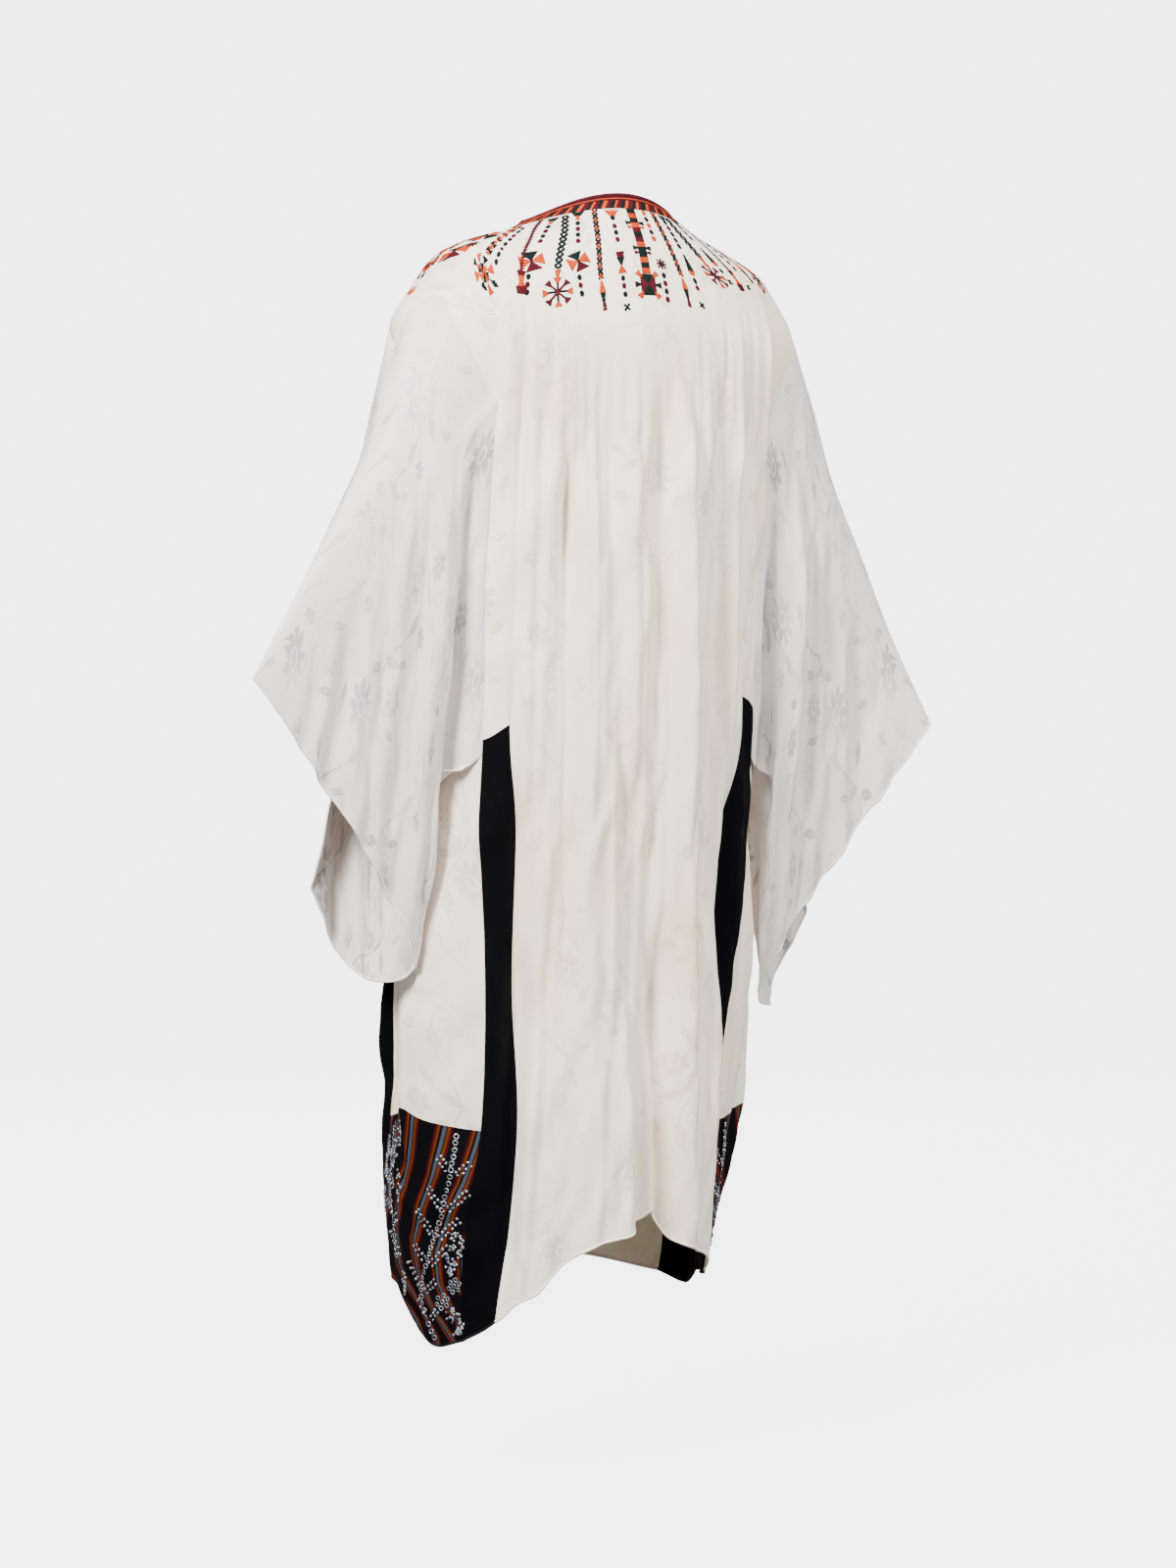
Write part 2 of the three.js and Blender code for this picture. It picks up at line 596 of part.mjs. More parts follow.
// The name of the piece that holds a cell of the body grid, or null inside an armhole.
function bodyPieceAt(row, column) {
  const next = column + 1 < body.places.length ? body.places[column + 1] : CENTRE_FRONT;
  const place = (body.places[column] + next) / 2;
  const side = place > 0 ? "left" : "right";
  const round = Math.abs(place);
  const band = Object.keys(CELL_ROWS).findLast((_, i) => row >= BAND_STARTS[i]);
  if (band === "neck") return "neck_band";
  if (band === "yoke") return round < SIDE_MIDDLE ? "yoke_back" : "yoke_front";
  if (round > SIDE_SEAM && round < FRONT_SIDE_SEAM) {
    if (band === "lower") return `side_panel_${side}`;
    return band === "hem" ? `hem_panel_${side}` : null;
  }
  const isStrip = band !== "upper" && round > PANEL_SEAM && round < FRONT_PANEL_SEAM;
  if (round < SIDE_SEAM) return isStrip ? `strip_back_${side}` : "back_panel";
  return isStrip ? `strip_front_${side}` : "front_panel";
}

const BODY_PIECES = {
  neck_band: CLOTHS.embroideredBand,
  yoke_back: CLOTHS.ivoryJacquard,
  yoke_front: CLOTHS.ivoryJacquard,
  back_panel: CLOTHS.ivoryJacquard,
  front_panel: CLOTHS.ivoryJacquard,
  strip_back_left: CLOTHS.blackCrepe,
  strip_back_right: CLOTHS.blackCrepe,
  strip_front_left: CLOTHS.blackCrepe,
  strip_front_right: CLOTHS.blackCrepe,
  side_panel_left: CLOTHS.ivoryJacquard,
  side_panel_right: CLOTHS.ivoryJacquard,
  hem_panel_left: CLOTHS.stripedCloth,
  hem_panel_right: CLOTHS.stripedCloth,
};

function clothMesh(name, geometry, cloth) {
  const mesh = new THREE.Mesh(geometry, new THREE.MeshStandardMaterial(cloth));
  mesh.name = name;
  return mesh;
}

const dress = new THREE.Group();
for (const [name, cloth] of Object.entries(BODY_PIECES)) {
  const takes = (row, column) => bodyPieceAt(row, column) === name;
  dress.add(clothMesh(name, clothGeometry(body, bodyNormals, takes), cloth));
}
for (const side of ["left", "right"]) {
  const geometry = clothGeometry(sleeves[side], sleeveNormals[side], () => true);
  dress.add(clothMesh(`sleeve_${side}`, geometry, CLOTHS.coolJacquard));
}

export default dress;
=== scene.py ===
"""A wide kaftan dress of silk jacquard, filled out and hollow, as it hangs on the one who wears it.

The dress is seen from behind, turned so that the wearer's left side shows. Its cloth is laid out on
one grid round the body and one along each sleeve, in millimetres, and every sewn piece is cut from
those grids as a thin shell. Embroidery, sequins, rolled hems and stitches lie on the same grids.
"""
import math

import bmesh
import bpy
import numpy as np
from mathutils import Matrix, Vector


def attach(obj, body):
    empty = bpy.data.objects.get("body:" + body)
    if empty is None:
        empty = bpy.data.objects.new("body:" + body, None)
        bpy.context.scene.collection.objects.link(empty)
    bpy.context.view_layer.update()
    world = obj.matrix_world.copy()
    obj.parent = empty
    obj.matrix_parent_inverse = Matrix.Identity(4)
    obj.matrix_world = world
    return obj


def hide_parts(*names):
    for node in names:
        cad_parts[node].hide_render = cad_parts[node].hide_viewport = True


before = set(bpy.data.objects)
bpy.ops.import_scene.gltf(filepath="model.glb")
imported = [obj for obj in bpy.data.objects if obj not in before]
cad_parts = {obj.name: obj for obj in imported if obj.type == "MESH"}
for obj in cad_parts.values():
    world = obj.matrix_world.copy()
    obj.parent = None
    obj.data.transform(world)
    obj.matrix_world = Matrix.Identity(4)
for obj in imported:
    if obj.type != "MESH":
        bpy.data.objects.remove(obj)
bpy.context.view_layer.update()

MM = 0.001

# ---------------------------------------------------------------- camera, light and floor

EYE_TARGET = Vector((0.0095, -0.0055, -0.636))
EYE_DIRECTION = Vector((0.5, 0.866, 0.0))
EYE_DISTANCE = 4.0
HALF_VIEW_HEIGHT = 0.88
SENSOR_HEIGHT = 24.0
FLOOR_Z = -1.42
STAGE_RADIUS = 9.0
STAGE_WALL = 7.0


def set_camera():
    lens = bpy.data.cameras.new("eye")
    lens.sensor_fit = "VERTICAL"
    lens.sensor_height = SENSOR_HEIGHT
    lens.lens = SENSOR_HEIGHT / 2 * EYE_DISTANCE / HALF_VIEW_HEIGHT
    lens.clip_end = 60
    camera = bpy.data.objects.new("eye", lens)
    camera.location = EYE_TARGET + EYE_DISTANCE * EYE_DIRECTION
    camera.rotation_euler = (EYE_TARGET - camera.location).to_track_quat("-Z", "Y").to_euler()
    bpy.context.scene.collection.objects.link(camera)
    bpy.context.scene.camera = camera


def soft_light(name, place, size, watts, aim=EYE_TARGET, colour=(1, 1, 1)):
    lamp = bpy.data.lights.new(name, "AREA")
    lamp.shape = "RECTANGLE"
    lamp.size, lamp.size_y = size
    lamp.energy = watts
    lamp.color = colour
    light = bpy.data.objects.new(name, lamp)
    light.location = place
    light.rotation_euler = (Vector(aim) - light.location).to_track_quat("-Z", "Y").to_euler()
    bpy.context.scene.collection.objects.link(light)


def set_lights():
    world = bpy.data.worlds.new("studio air")
    world.use_nodes = True
    air = world.node_tree.nodes["Background"]
    air.inputs["Color"].default_value = (1.0, 1.0, 1.0, 1)
    air.inputs["Strength"].default_value = 0.4
    bpy.context.scene.world = world
    soft_light("key", (2.95, 1.6, 1.4), (0.9, 1.4), 440)
    soft_light("right_side", (-2.0, 3.2, 0.7), (1.0, 2.0), 185)
    soft_light("front_fill", (-2.0, -4.2, 1.2), (2.4, 2.4), 220)
    soft_light("top", (0.5, 1.9, 2.5), (1.2, 1.2), 150)


def make_stage():
    """A round floor that curves up into a plain wall."""
    profile = [(0.0, 0.0), (STAGE_RADIUS - 2.0, 0.0)]
    for step in range(1, 9):
        turn = step / 8 * math.pi / 2
        profile.append((STAGE_RADIUS - 2 + 2 * math.sin(turn), 2 - 2 * math.cos(turn)))
    profile.append((STAGE_RADIUS, STAGE_WALL))
    around = 96
    vertices = [(0.0, 0.0, FLOOR_Z)]
    faces = []
    for radius, height in profile[1:]:
        for i in range(around):
            angle = 2 * math.pi * i / around
            vertices.append((radius * math.cos(angle), radius * math.sin(angle), FLOOR_Z + height))
    for i in range(around):
        faces.append((0, 1 + i, 1 + (i + 1) % around))
    for ring in range(len(profile) - 2):
        for i in range(around):
            a = 1 + ring * around + i
            b = 1 + ring * around + (i + 1) % around
            faces.append((a, a + around, b + around, b))
    mesh = bpy.data.meshes.new("studio_floor")
    mesh.from_pydata(vertices, [], faces)
    mesh.polygons.foreach_set("use_smooth", [True] * len(mesh.polygons))
    stage = bpy.data.objects.new("studio_floor", mesh)
    bpy.context.scene.collection.objects.link(stage)
    paper = bpy.data.materials.new("studio paper")
    paper.use_nodes = True
    shader = paper.node_tree.nodes["Principled BSDF"]
    shader.inputs["Base Color"].default_value = (0.12, 0.12, 0.12, 1)
    shader.inputs["Roughness"].default_value = 1.0
    shader.inputs["Emission Color"].default_value = (1, 1, 1, 1)
    shader.inputs["Emission Strength"].default_value = 4.6
    stage.data.materials.append(paper)
    stage.visible_diffuse = False
    stage.visible_glossy = False


# ---------------------------------------------------------------- sizes of the dress, in millimetres

# A ring of the body is an oval: half its width in X, its middle in Y, its depth to the back and to
# the front. The seam columns give how far from the centre line the lengthwise seams cross that ring.
BODY_COLUMNS = (
    "back_z", "side_z", "front_z", "half_width", "middle_y", "back_depth", "front_depth", "back_curve",
    "left_back_panel", "left_back_side", "left_front_side", "left_front_panel",
    "right_back_panel", "right_back_side", "right_front_side", "right_front_panel",
)
BODY_RINGS = np.array([
    (16, -12, -85, 95, 0, 62, 85, 1, 57, 72, 72, 57, 57, 72, 72, 57),
    (-1, -21, -101, 112, 0, 74, 98, 1, 67, 86, 86, 67, 67, 86, 86, 67),
    (-45, -32, -140, 150, 0, 100, 120, 1, 92, 117, 117, 92, 92, 117, 117, 92),
    (-90, -54, -170, 198, 0, 117, 135, 1, 120, 150, 150, 120, 120, 150, 150, 120),
    (-130, -92, -195, 230, 0, 126, 142, 1, 138, 165, 165, 138, 138, 165, 165, 138),
    (-165, -144, -220, 254, 0, 128, 148, 1, 148, 171, 171, 148, 148, 171, 171, 148),
    (-240, -250, -270, 228, -3, 129, 153, 1, 153, 174, 174, 153, 153, 174, 174, 153),
    (-400, -400, -400, 212, -5, 125, 158, 1.1, 153, 175, 175, 153, 153, 175, 175, 153),
    (-575, -575, -575, 201, -15, 123, 165, 1, 150, 172, 174, 150, 150, 178, 172, 150),
    (-690, -690, -690, 197, -28, 123, 170, 0.85, 140, 172, 188, 150, 140, 190, 176, 150),
    (-860, -860, -860, 219, -48, 130, 168, 1.3, 136, 160, 205, 160, 136, 158, 193, 165),
    (-1000, -1000, -1000, 217, -55, 135, 167, 1.6, 127, 158, 203, 163, 127, 139, 205, 178),
    (-1100, -1100, -1100, 206, -76, 151, 158, 1.6, 128, 161, 184, 158, 128, 137, 201, 180),
    (-1190, -1190, -1190, 191, -93, 163, 147, 1.6, 130, 158, 172, 150, 130, 138, 190, 173),
    (-1275, -1275, -1275, 170, -98, 162, 138, 1.5, 129, 148, 158, 138, 129, 136, 169, 157),
], float)
RING_NUMBERS = np.arange(len(BODY_RINGS), dtype=float)
# How finely a height is looked up among the rings.
HALVINGS, RING_STEPS = 30, 281

# A place round the body: 0 centre back, 1 panel seam, 2 side seam, 3 middle of the side, 4 side seam
# of the front, 5 panel seam of the front, 6 centre front. The wearer's right has the same, negative.
PANEL_SEAM, SIDE_SEAM, SIDE_MIDDLE, FRONT_SIDE_SEAM, FRONT_PANEL_SEAM, CENTRE_FRONT = 1, 2, 3, 4, 5, 6

# The seams that run across: (place, z).
YOKE_EDGE = (
    (0, -136), (0.3, -141), (0.6, -162), (0.8, -181), (1, -206), (2, -224), (2.25, -164), (2.5, -112),
    (2.75, -116), (3, -158), (3.25, -124), (3.5, -125), (3.75, -180), (4, -245), (5, -240), (6, -225),
)
STRIP_TOP = (
    (-6, -558), (-5, -546), (-4, -562), (-2, -553), (-1, -537), (0, -555),
    (1, -572), (2, -588), (4, -588), (5, -572), (6, -558),
)
UNDERARM = ((0, -600), (2, -604), (3, -630), (4, -604), (6, -600))
HEM_PANEL_TOP = ((0, -1010), (2, -1017), (3, -994), (4, -1008), (6, -1005))
HEM = (
    (-6, -1186), (-5.5, -1194), (-5, -1210), (-4, -1220), (-3, -1206), (-2, -1194), (-1, -1188),
    (-0.85, -1166), (-0.7, -1158), (-0.5, -1146), (-0.42, -1128), (-0.36, -1111), (-0.28, -1112),
    (-0.2, -1122), (0, -1133), (0.3, -1143), (0.5, -1160), (0.62, -1180), (0.72, -1198),
    (0.85, -1208), (1, -1230), (2, -1254), (2.5, -1263), (3, -1241), (3.4, -1206), (4, -1188),
    (5, -1182), (6, -1186),
)

# A fold: (top across, top z, bottom across, bottom z, spread, rise). It stands out or dips in by its
# rise, which fades in below its top end. On the back, front and sleeves "across" is the distance from
# the centre line, + to the wearer's left; on the sides it is the distance in Y.
FOLD_FADE = 130
BACK_FOLDS = (
    (97, -210, 120, -900, 13, -12), (118, -260, 112, -1240, 12, 7), (140, -560, 128, -1120, 11, -18),
    (-140, -560, -136, -800, 11, -18), (92, -300, 76, -1180, 16, -9), (75, -240, 50, -1160, 17, 9),
    (60, -180, -22, -1130, 13, -13), (30, -200, 8, -1130, 16, 8), (-8, -170, -26, -1130, 14, -13),
    (-37, -180, -86, -1150, 15, 14), (-80, -250, -106, -900, 13, -8), (-107, -220, -108, -720, 11, -13),
    (-112, -760, -118, -1240, 15, 13), (-32, -760, -56, -1140, 13, -26),
)
FRONT_FOLDS = (
    (95, -280, 112, -1190, 18, -12), (62, -250, 70, -1190, 20, 12), (30, -240, 28, -1190, 17, -12),
    (-4, -240, -10, -1190, 20, 12), (-38, -250, -48, -1190, 17, -12), (-75, -260, -92, -1190, 20, 11),
)
SIDE_FOLDS = (
    (-38, -640, -100, -960, 20, -11), (5, -660, -30, -1000, 18, 6), (-120, -680, -150, -1180, 24, 8),
)

# Narrow creases between the large folds, in the same form. They fade in more quickly.
CREASE_FADE = 70
BACK_CREASES = (
    (152, -150, 148, -560, 4.5, -4.5), (139, -140, 134, -650, 5, 3.4), (128, -190, 124, -730, 4, -4.7),
    (113, -150, 104, -780, 5.5, 3.2), (103, -225, 90, -660, 4, -3.7), (84, -130, 66, -560, 4.5, -3),
    (67, -160, 57, -620, 5, -3.4), (46, -150, 30, -860, 6, 3), (19, -160, 3, -700, 5, -3),
    (-22, -160, -42, -900, 5, -3.2), (-52, -160, -68, -700, 5, -3.4), (-68, -180, -96, -820, 6, 3.4),
    (-92, -175, -95, -650, 4.5, -6.3), (-121, -190, -125, -540, 5, 3.4),
    (-135, -200, -138, -520, 4.5, -4.3),
    (22, -620, 14, -1230, 8, -4), (64, -600, 92, -1250, 9, 4.3), (98, -720, 106, -1260, 6, -4.9),
    (-8, -560, 0, -1150, 7, 3.2), (-78, -620, -102, -1220, 6, -4.9), (38, -900, 44, -1230, 6, 3),
)
YOKE_CREASES = (
    (176, -70, 186, -330, 4, -2.9), (162, -74, 168, -360, 5, 2.3), (146, -80, 150, -300, 4, -2.9),
    (120, -95, 122, -260, 4.5, -2.6), (92, -110, 90, -250, 4, -2), (-60, -110, -66, -240, 4.5, -2.2),
    (-98, -105, -102, -280, 4, -2.9), (-118, -96, -122, -300, 5, 2.3), (-140, -88, -144, -320, 4, -2.9),
    (-166, -74, -172, -340, 5, 2.6),
)
FRONT_CREASES = (
    (148, -230, 150, -620, 5, -3.8), (128, -230, 136, -900, 6, 3.1), (110, -240, 124, -760, 4.5, -3.6),
    (78, -230, 90, -1150, 6, -3.4), (46, -230, 50, -700, 5, 3.1), (12, -230, 6, -1150, 6, -3.1),
    (-20, -230, -26, -640, 5, 2.9), (-56, -230, -66, -1150, 6, -3.4), (-92, -240, -108, -900, 5, 3.4),
    (-112, -240, -126, -700, 4.5, -3.6), (-132, -240, -146, -1100, 6, 3.4),
)
SIDE_CREASES = (
    (-70, -650, -128, -1010, 6, -3.6), (-16, -650, -60, -1000, 6, 3.6), (22, -650, 10, -1010, 5, -3.1),
    (-96, -680, -160, -1180, 7, 3.6), (-60, -1020, -90, -1230, 7, -3.1), (-20, -1020, -60, -1230, 7, 2.9),
)

# The soft unevenness of cloth that hangs: (width, length, rise, start) of waves across and down it.
WAVES = ((74, 560, 1.6, 4.0), (45, 330, 1.3, 0.3), (28, 210, 0.8, 1.9), (19, 140, 0.4, 5.2))

# A sleeve section hangs from a top point to a bottom point, with its back and front layers standing
# off the line between them.
SLEEVE_COLUMNS = (
    "top_x", "top_y", "top_z", "bottom_x", "bottom_y", "bottom_z",
    "back_x", "back_y", "back_sag", "front_x", "front_y", "front_tuck", "front_sag",
)
SLEEVE_SECTIONS = (
    (276, 11, -205, 216, -10, -664, -20, 60, 1, -10, -96, 0, 1),
    (299, 19, -278, 221, -14, -714, -22, 48, 1, -6, -86, 0, 1),
    (340, 21, -354, 227, -20, -760, -30, 36, 1.1, -2, -78, -12, 1.3),
    (385, 21, -438, 238, -26, -808, -38, 26, 1.6, 8, -64, -44, 2),
    (437, 27, -524, 252, -34, -852, -46, 18, 2, 16, -52, -78, 2.6),
)
TUCK_END = 0.62
# The sleeve's folds begin this share of a section below the armhole.
SLEEVE_FOLD_START = 0.6
SLEEVE_HANG = {"left": 0, "right": -40}
SLEEVE_BACK_FOLDS = (
    (186, -220, 203, -600, 12, -30), (226, -270, 240, -790, 14, 10),
    (250, -300, 266, -760, 14, -8), (318, -400, 346, -660, 15, -10),
)
SLEEVE_FRONT_FOLDS = ((215, -260, 238, -800, 16, -13), (262, -320, 290, -800, 17, 9))
SLEEVE_BACK_CREASES = (
    (168, -250, 186, -560, 5, -4), (194, -230, 216, -720, 5, 3.6), (213, -250, 227, -780, 4.5, -4),
    (240, -270, 255, -820, 5, -4.5), (262, -300, 282, -760, 6, 3.4), (278, -330, 300, -740, 5, -3.6),
    (296, -360, 322, -720, 7, 3.6), (334, -440, 366, -660, 7, 4), (350, -470, 386, -640, 6, -3.8),
    (374, -500, 406, -620, 7, 2.9),
)
SLEEVE_FRONT_CREASES = (
    (198, -260, 216, -700, 5, -3.8), (228, -260, 250, -820, 5, 3.6), (246, -300, 268, -860, 5, -4.1),
    (276, -320, 306, -800, 6, -3.6), (304, -380, 336, -760, 7, 3.4), (330, -420, 362, -700, 6, -3.4),
)

# How finely each stretch of cloth is divided.
CELLS_ROUND = {"back_panel": 120, "strip": 12, "side": 48, "front_panel": 84}
CELL_ROWS = {"neck": 6, "yoke": 36, "upper": 56, "notch": 6, "lower": 56, "hem": 40}
SLEEVE_STEPS = np.concatenate((np.linspace(0, 1, 25)[:-1], np.linspace(1, 5, 77)))

CLOTH_THICKNESS = 0.9
SEAM_GAP = 0.14
SEAM_DIP = 0.05
RIM_ANGLE = math.radians(70)

# ---------------------------------------------------------------- curves and folds


def mix(a, b, share):
    return a + (b - a) * share


def smooth(x):
    x = np.clip(x, 0, 1)
    return x * x * (3 - 2 * x)


def through_rows(keys, values, at):
    """A smooth curve through the rows of a table: the value where the keys read `at`."""
    keys, values, at = (np.asarray(x, float) for x in (keys, values, at))
    last = len(keys) - 1
    numbers = np.arange(last + 1)
    before = np.maximum(numbers - 1, 0)
    after = np.minimum(numbers + 1, last)
    slope = (values[after] - values[before]) / (keys[after] - keys[before])
    i = np.clip(np.searchsorted(keys, at) - 1, 0, last - 1)
    width = keys[i + 1] - keys[i]
    t = np.clip((at - keys[i]) / width, 0, 1)
    t2, t3 = t * t, t * t * t
    start = (2 * t3 - 3 * t2 + 1) * values[i] + (t3 - 2 * t2 + t) * slope[i] * width
    return start + (3 * t2 - 2 * t3) * values[i + 1] + (t3 - t2) * slope[i + 1] * width


def seam_height(seam, place):
    places, heights = np.array(seam, float).T
    return through_rows(places, heights, place)


def fold_rise(folds, across, z, fade_length=FOLD_FADE):
    """How far all the folds of a table move the cloth at a distance `across` and a height z."""
    rise = np.zeros_like(z)
    for top_across, top_z, bottom_across, bottom_z, spread, height in folds:
        along = np.clip((top_z - z) / (top_z - bottom_z), 0, 1)
        centre = mix(top_across, bottom_across, along)
        fade = smooth((top_z - z) / fade_length) * (1 - smooth((bottom_z - z) / fade_length))
        rise += height * fade * np.exp(-(((across - centre) / spread) ** 2))
    return rise


def wave_rise(across, z):
    rise = np.zeros_like(z)
    for width, length, height, start in WAVES:
        drift = 0.4 * np.sin(2 * math.pi * z / length + start)
        rise += height * np.sin(2 * math.pi * (across / width + drift) + start)
    return rise


def unit(vectors):
    return vectors / np.maximum(np.linalg.norm(vectors, axis=-1, keepdims=True), 1e-9)


def grid_normals(points, outward):
    """Outward unit normals of a grid whose rows close on themselves and follow each other down."""
    around = np.roll(points, -1, axis=1) - np.roll(points, 1, axis=1)
    down = np.empty_like(points)
    down[1:-1] = points[2:] - points[:-2]
    down[0] = points[1] - points[0]
    down[-1] = points[-1] - points[-2]
    return unit(np.cross(around, down) * outward)


# ---------------------------------------------------------------- the body's cloth


def ring_size(column, ring):
    return through_rows(RING_NUMBERS, BODY_RINGS[:, BODY_COLUMNS.index(column)], ring)


def body_point(place, ring):
    """The plain body without its folds, at places round it and rings down it."""
    place, ring = np.broadcast_arrays(np.asarray(place, float), np.asarray(ring, float))
    half_width = ring_size("half_width", ring)

    def seam_angle(seam):
        x = np.where(place < 0, ring_size("right_" + seam, ring), ring_size("left_" + seam, ring))
        return np.arcsin(x / half_width)

    half_turn = np.full_like(half_width, math.pi)
    stops = np.stack([
        0 * half_turn, seam_angle("back_panel"), seam_angle("back_side"), half_turn / 2,
        half_turn - seam_angle("front_side"), half_turn - seam_angle("front_panel"), half_turn,
    ])
    start = np.minimum(np.floor(np.abs(place)), CENTRE_FRONT - 1).astype(int)
    low = np.take_along_axis(stops, start[None], 0)[0]
    high = np.take_along_axis(stops, start[None] + 1, 0)[0]
    angle = mix(low, high, np.abs(place) - start)
    to_back = np.cos(angle)
    is_back = to_back >= 0
    depth = np.where(is_back, ring_size("back_depth", ring), ring_size("front_depth", ring))
    end_z = np.where(is_back, ring_size("back_z", ring), ring_size("front_z", ring))
    curve = np.where(is_back, ring_size("back_curve", ring), 1)
    return np.stack([
        np.sign(place) * half_width * np.sin(angle),
        ring_size("middle_y", ring) + depth * np.sign(to_back) * np.abs(to_back) ** curve,
        mix(ring_size("side_z", ring), end_z, to_back * to_back),
    ], axis=-1)


def ring_at_height(place, z):
    """Where the plain body reaches the height z at each place, as a distance down its rings."""
    low = np.zeros(np.shape(place))
    high = np.full(np.shape(place), RING_NUMBERS[-1])
    for _ in range(HALVINGS):
        middle = (low + high) / 2
        above = body_point(place, middle)[..., 2] > z
        low, high = np.where(above, middle, low), np.where(above, high, middle)
    return low


def column_places():
    """The places of the grid's columns, once round from centre front over the wearer's right side."""
    half = CELLS_ROUND["front_panel"] // 2
    strip, side, back = (CELLS_ROUND[k] for k in ("strip", "side", "back_panel"))
    stops = (-6, -5, -4, -2, -1, 1, 2, 4, 5, 6)
    cells = (half, strip, side, strip, back, strip, side, strip, half)
    stretches = [np.linspace(a, b, n + 1)[:-1] for a, b, n in zip(stops, stops[1:], cells)]
    return np.concatenate(stretches)


def row_rings(places):
    """The rings that the grid's rows follow at each place: the seams, and even steps between."""
    side = np.abs(places)
    heights = [seam_height(YOKE_EDGE, side), seam_height(STRIP_TOP, places), seam_height(UNDERARM, side)]
    heights += [seam_height(HEM_PANEL_TOP, side), seam_height(HEM, places)]
    seams = [np.zeros_like(places), np.ones_like(places)] + [ring_at_height(places, z) for z in heights]
    rings = []
    for band, cells in enumerate(CELL_ROWS.values()):
        rings += [mix(seams[band], seams[band + 1], i / cells) for i in range(cells)]
    return np.array(rings + [seams[-1]])


def body_middle_y(z):
    rings = np.linspace(0, RING_NUMBERS[-1], RING_STEPS)
    heights = body_point(np.full(RING_STEPS, float(SIDE_MIDDLE)), rings)[:, 2]
    return ring_size("middle_y", np.interp(-z, -heights, rings))


def body_fold(points):
    x, y, z = points[..., 0], points[..., 1], points[..., 2]
    towards = np.clip((y - body_middle_y(z)) / 60, -1, 1)
    back = fold_rise(BACK_FOLDS, x, z) + fold_rise(BACK_CREASES + YOKE_CREASES, x, z, CREASE_FADE)
    front = fold_rise(FRONT_FOLDS, x, z) + fold_rise(FRONT_CREASES, x, z, CREASE_FADE)
    side = fold_rise(SIDE_FOLDS, y, z) + fold_rise(SIDE_CREASES, y, z, CREASE_FADE)
    rise = back * smooth(towards) + front * smooth(-towards)
    rise += side * smooth((np.abs(x) - 150) / 40)
    return rise + wave_rise(x + 0.6 * y, z) * smooth((-90 - z) / 220)


class Cloth:
    """A grid of cloth that closes on itself along its rows, in millimetres."""

    def __init__(self, points, outward):
        self.points = points
        self.outward = outward
        self.normals = grid_normals(points, outward)
        steps_down = np.linalg.norm(np.diff(points, axis=0), axis=2)
        self.down = np.concatenate([np.zeros((1, points.shape[1])), np.cumsum(steps_down, axis=0)])
        steps_across = np.linalg.norm(np.roll(points, -1, axis=1) - points, axis=2)
        self.across = np.concatenate([np.zeros((len(points), 1)), np.cumsum(steps_across, axis=1)], axis=1)
        self.numbers = np.arange(points.shape[1] + 1)

    def find(self, column, first_row, down, across):
        """The (row, column), both with fractions, `down` below a row at a column and `across` beside it."""
        nearest = int(round(column)) % self.points.shape[1]
        run = self.down[:, nearest] - self.down[first_row, nearest]
        row = float(np.interp(down, run, np.arange(len(run))))
        widths = self.across[int(round(row))]
        width = (np.interp(column, self.numbers, widths) + across) % widths[-1]
        return row, float(np.interp(width, widths, self.numbers))

    def read(self, grid, rows, columns):
        """A grid's values between its rows and columns."""
        count = self.points.shape[1]
        r = np.clip(np.floor(rows).astype(int), 0, len(grid) - 2)
        c = np.floor(columns).astype(int) % count
        right = (c + 1) % count
        x, y = (columns - np.floor(columns))[:, None], (rows - r)[:, None]
        return mix(mix(grid[r, c], grid[r, right], x), mix(grid[r + 1, c], grid[r + 1, right], x), y)


PLACES = column_places()
BAND_STARTS = dict(zip([*CELL_ROWS, "end"], np.cumsum([0, *CELL_ROWS.values()])))


def make_body():
    rings = row_rings(PLACES)
    plain = body_point(np.broadcast_to(PLACES, rings.shape), rings)
    points = plain + grid_normals(plain, 1) * body_fold(plain)[..., None]
    return Cloth(points, 1)


# ---------------------------------------------------------------- the sleeves' cloth


def armhole_loop(sign):
    """The body grid's (row, column) round one armhole, from the top of the shoulder down the back."""

    def at(place):
        return int(np.argmin(np.abs(PLACES - sign * place)))

    half = CELLS_ROUND["side"] // 2
    top, bottom = BAND_STARTS["upper"], BAND_STARTS["lower"]
    loop = [(top, at(SIDE_MIDDLE) - sign * i) for i in range(half)]
    loop += [(row, at(SIDE_SEAM)) for row in range(top, bottom)]
    loop += [(bottom, at(SIDE_SEAM) + sign * i) for i in range(2 * half)]
    loop += [(row, at(FRONT_SIDE_SEAM)) for row in range(bottom, top, -1)]
    loop += [(top, at(FRONT_SIDE_SEAM) - sign * i) for i in range(half)]
    return loop


def down_shares(loop, bottom):
    """How far down each point of a loop is, 0 at the top and 1 at the bottom, by length."""
    steps = np.linalg.norm(np.roll(loop, -1, axis=0) - loop, axis=1)
    run = np.concatenate([[0], np.cumsum(steps)])
    back = run[: bottom + 1] / run[bottom]
    front = 1 - (run[bottom + 1 : -1] - run[bottom]) / (run[-1] - run[bottom])
    return np.concatenate([back, front])


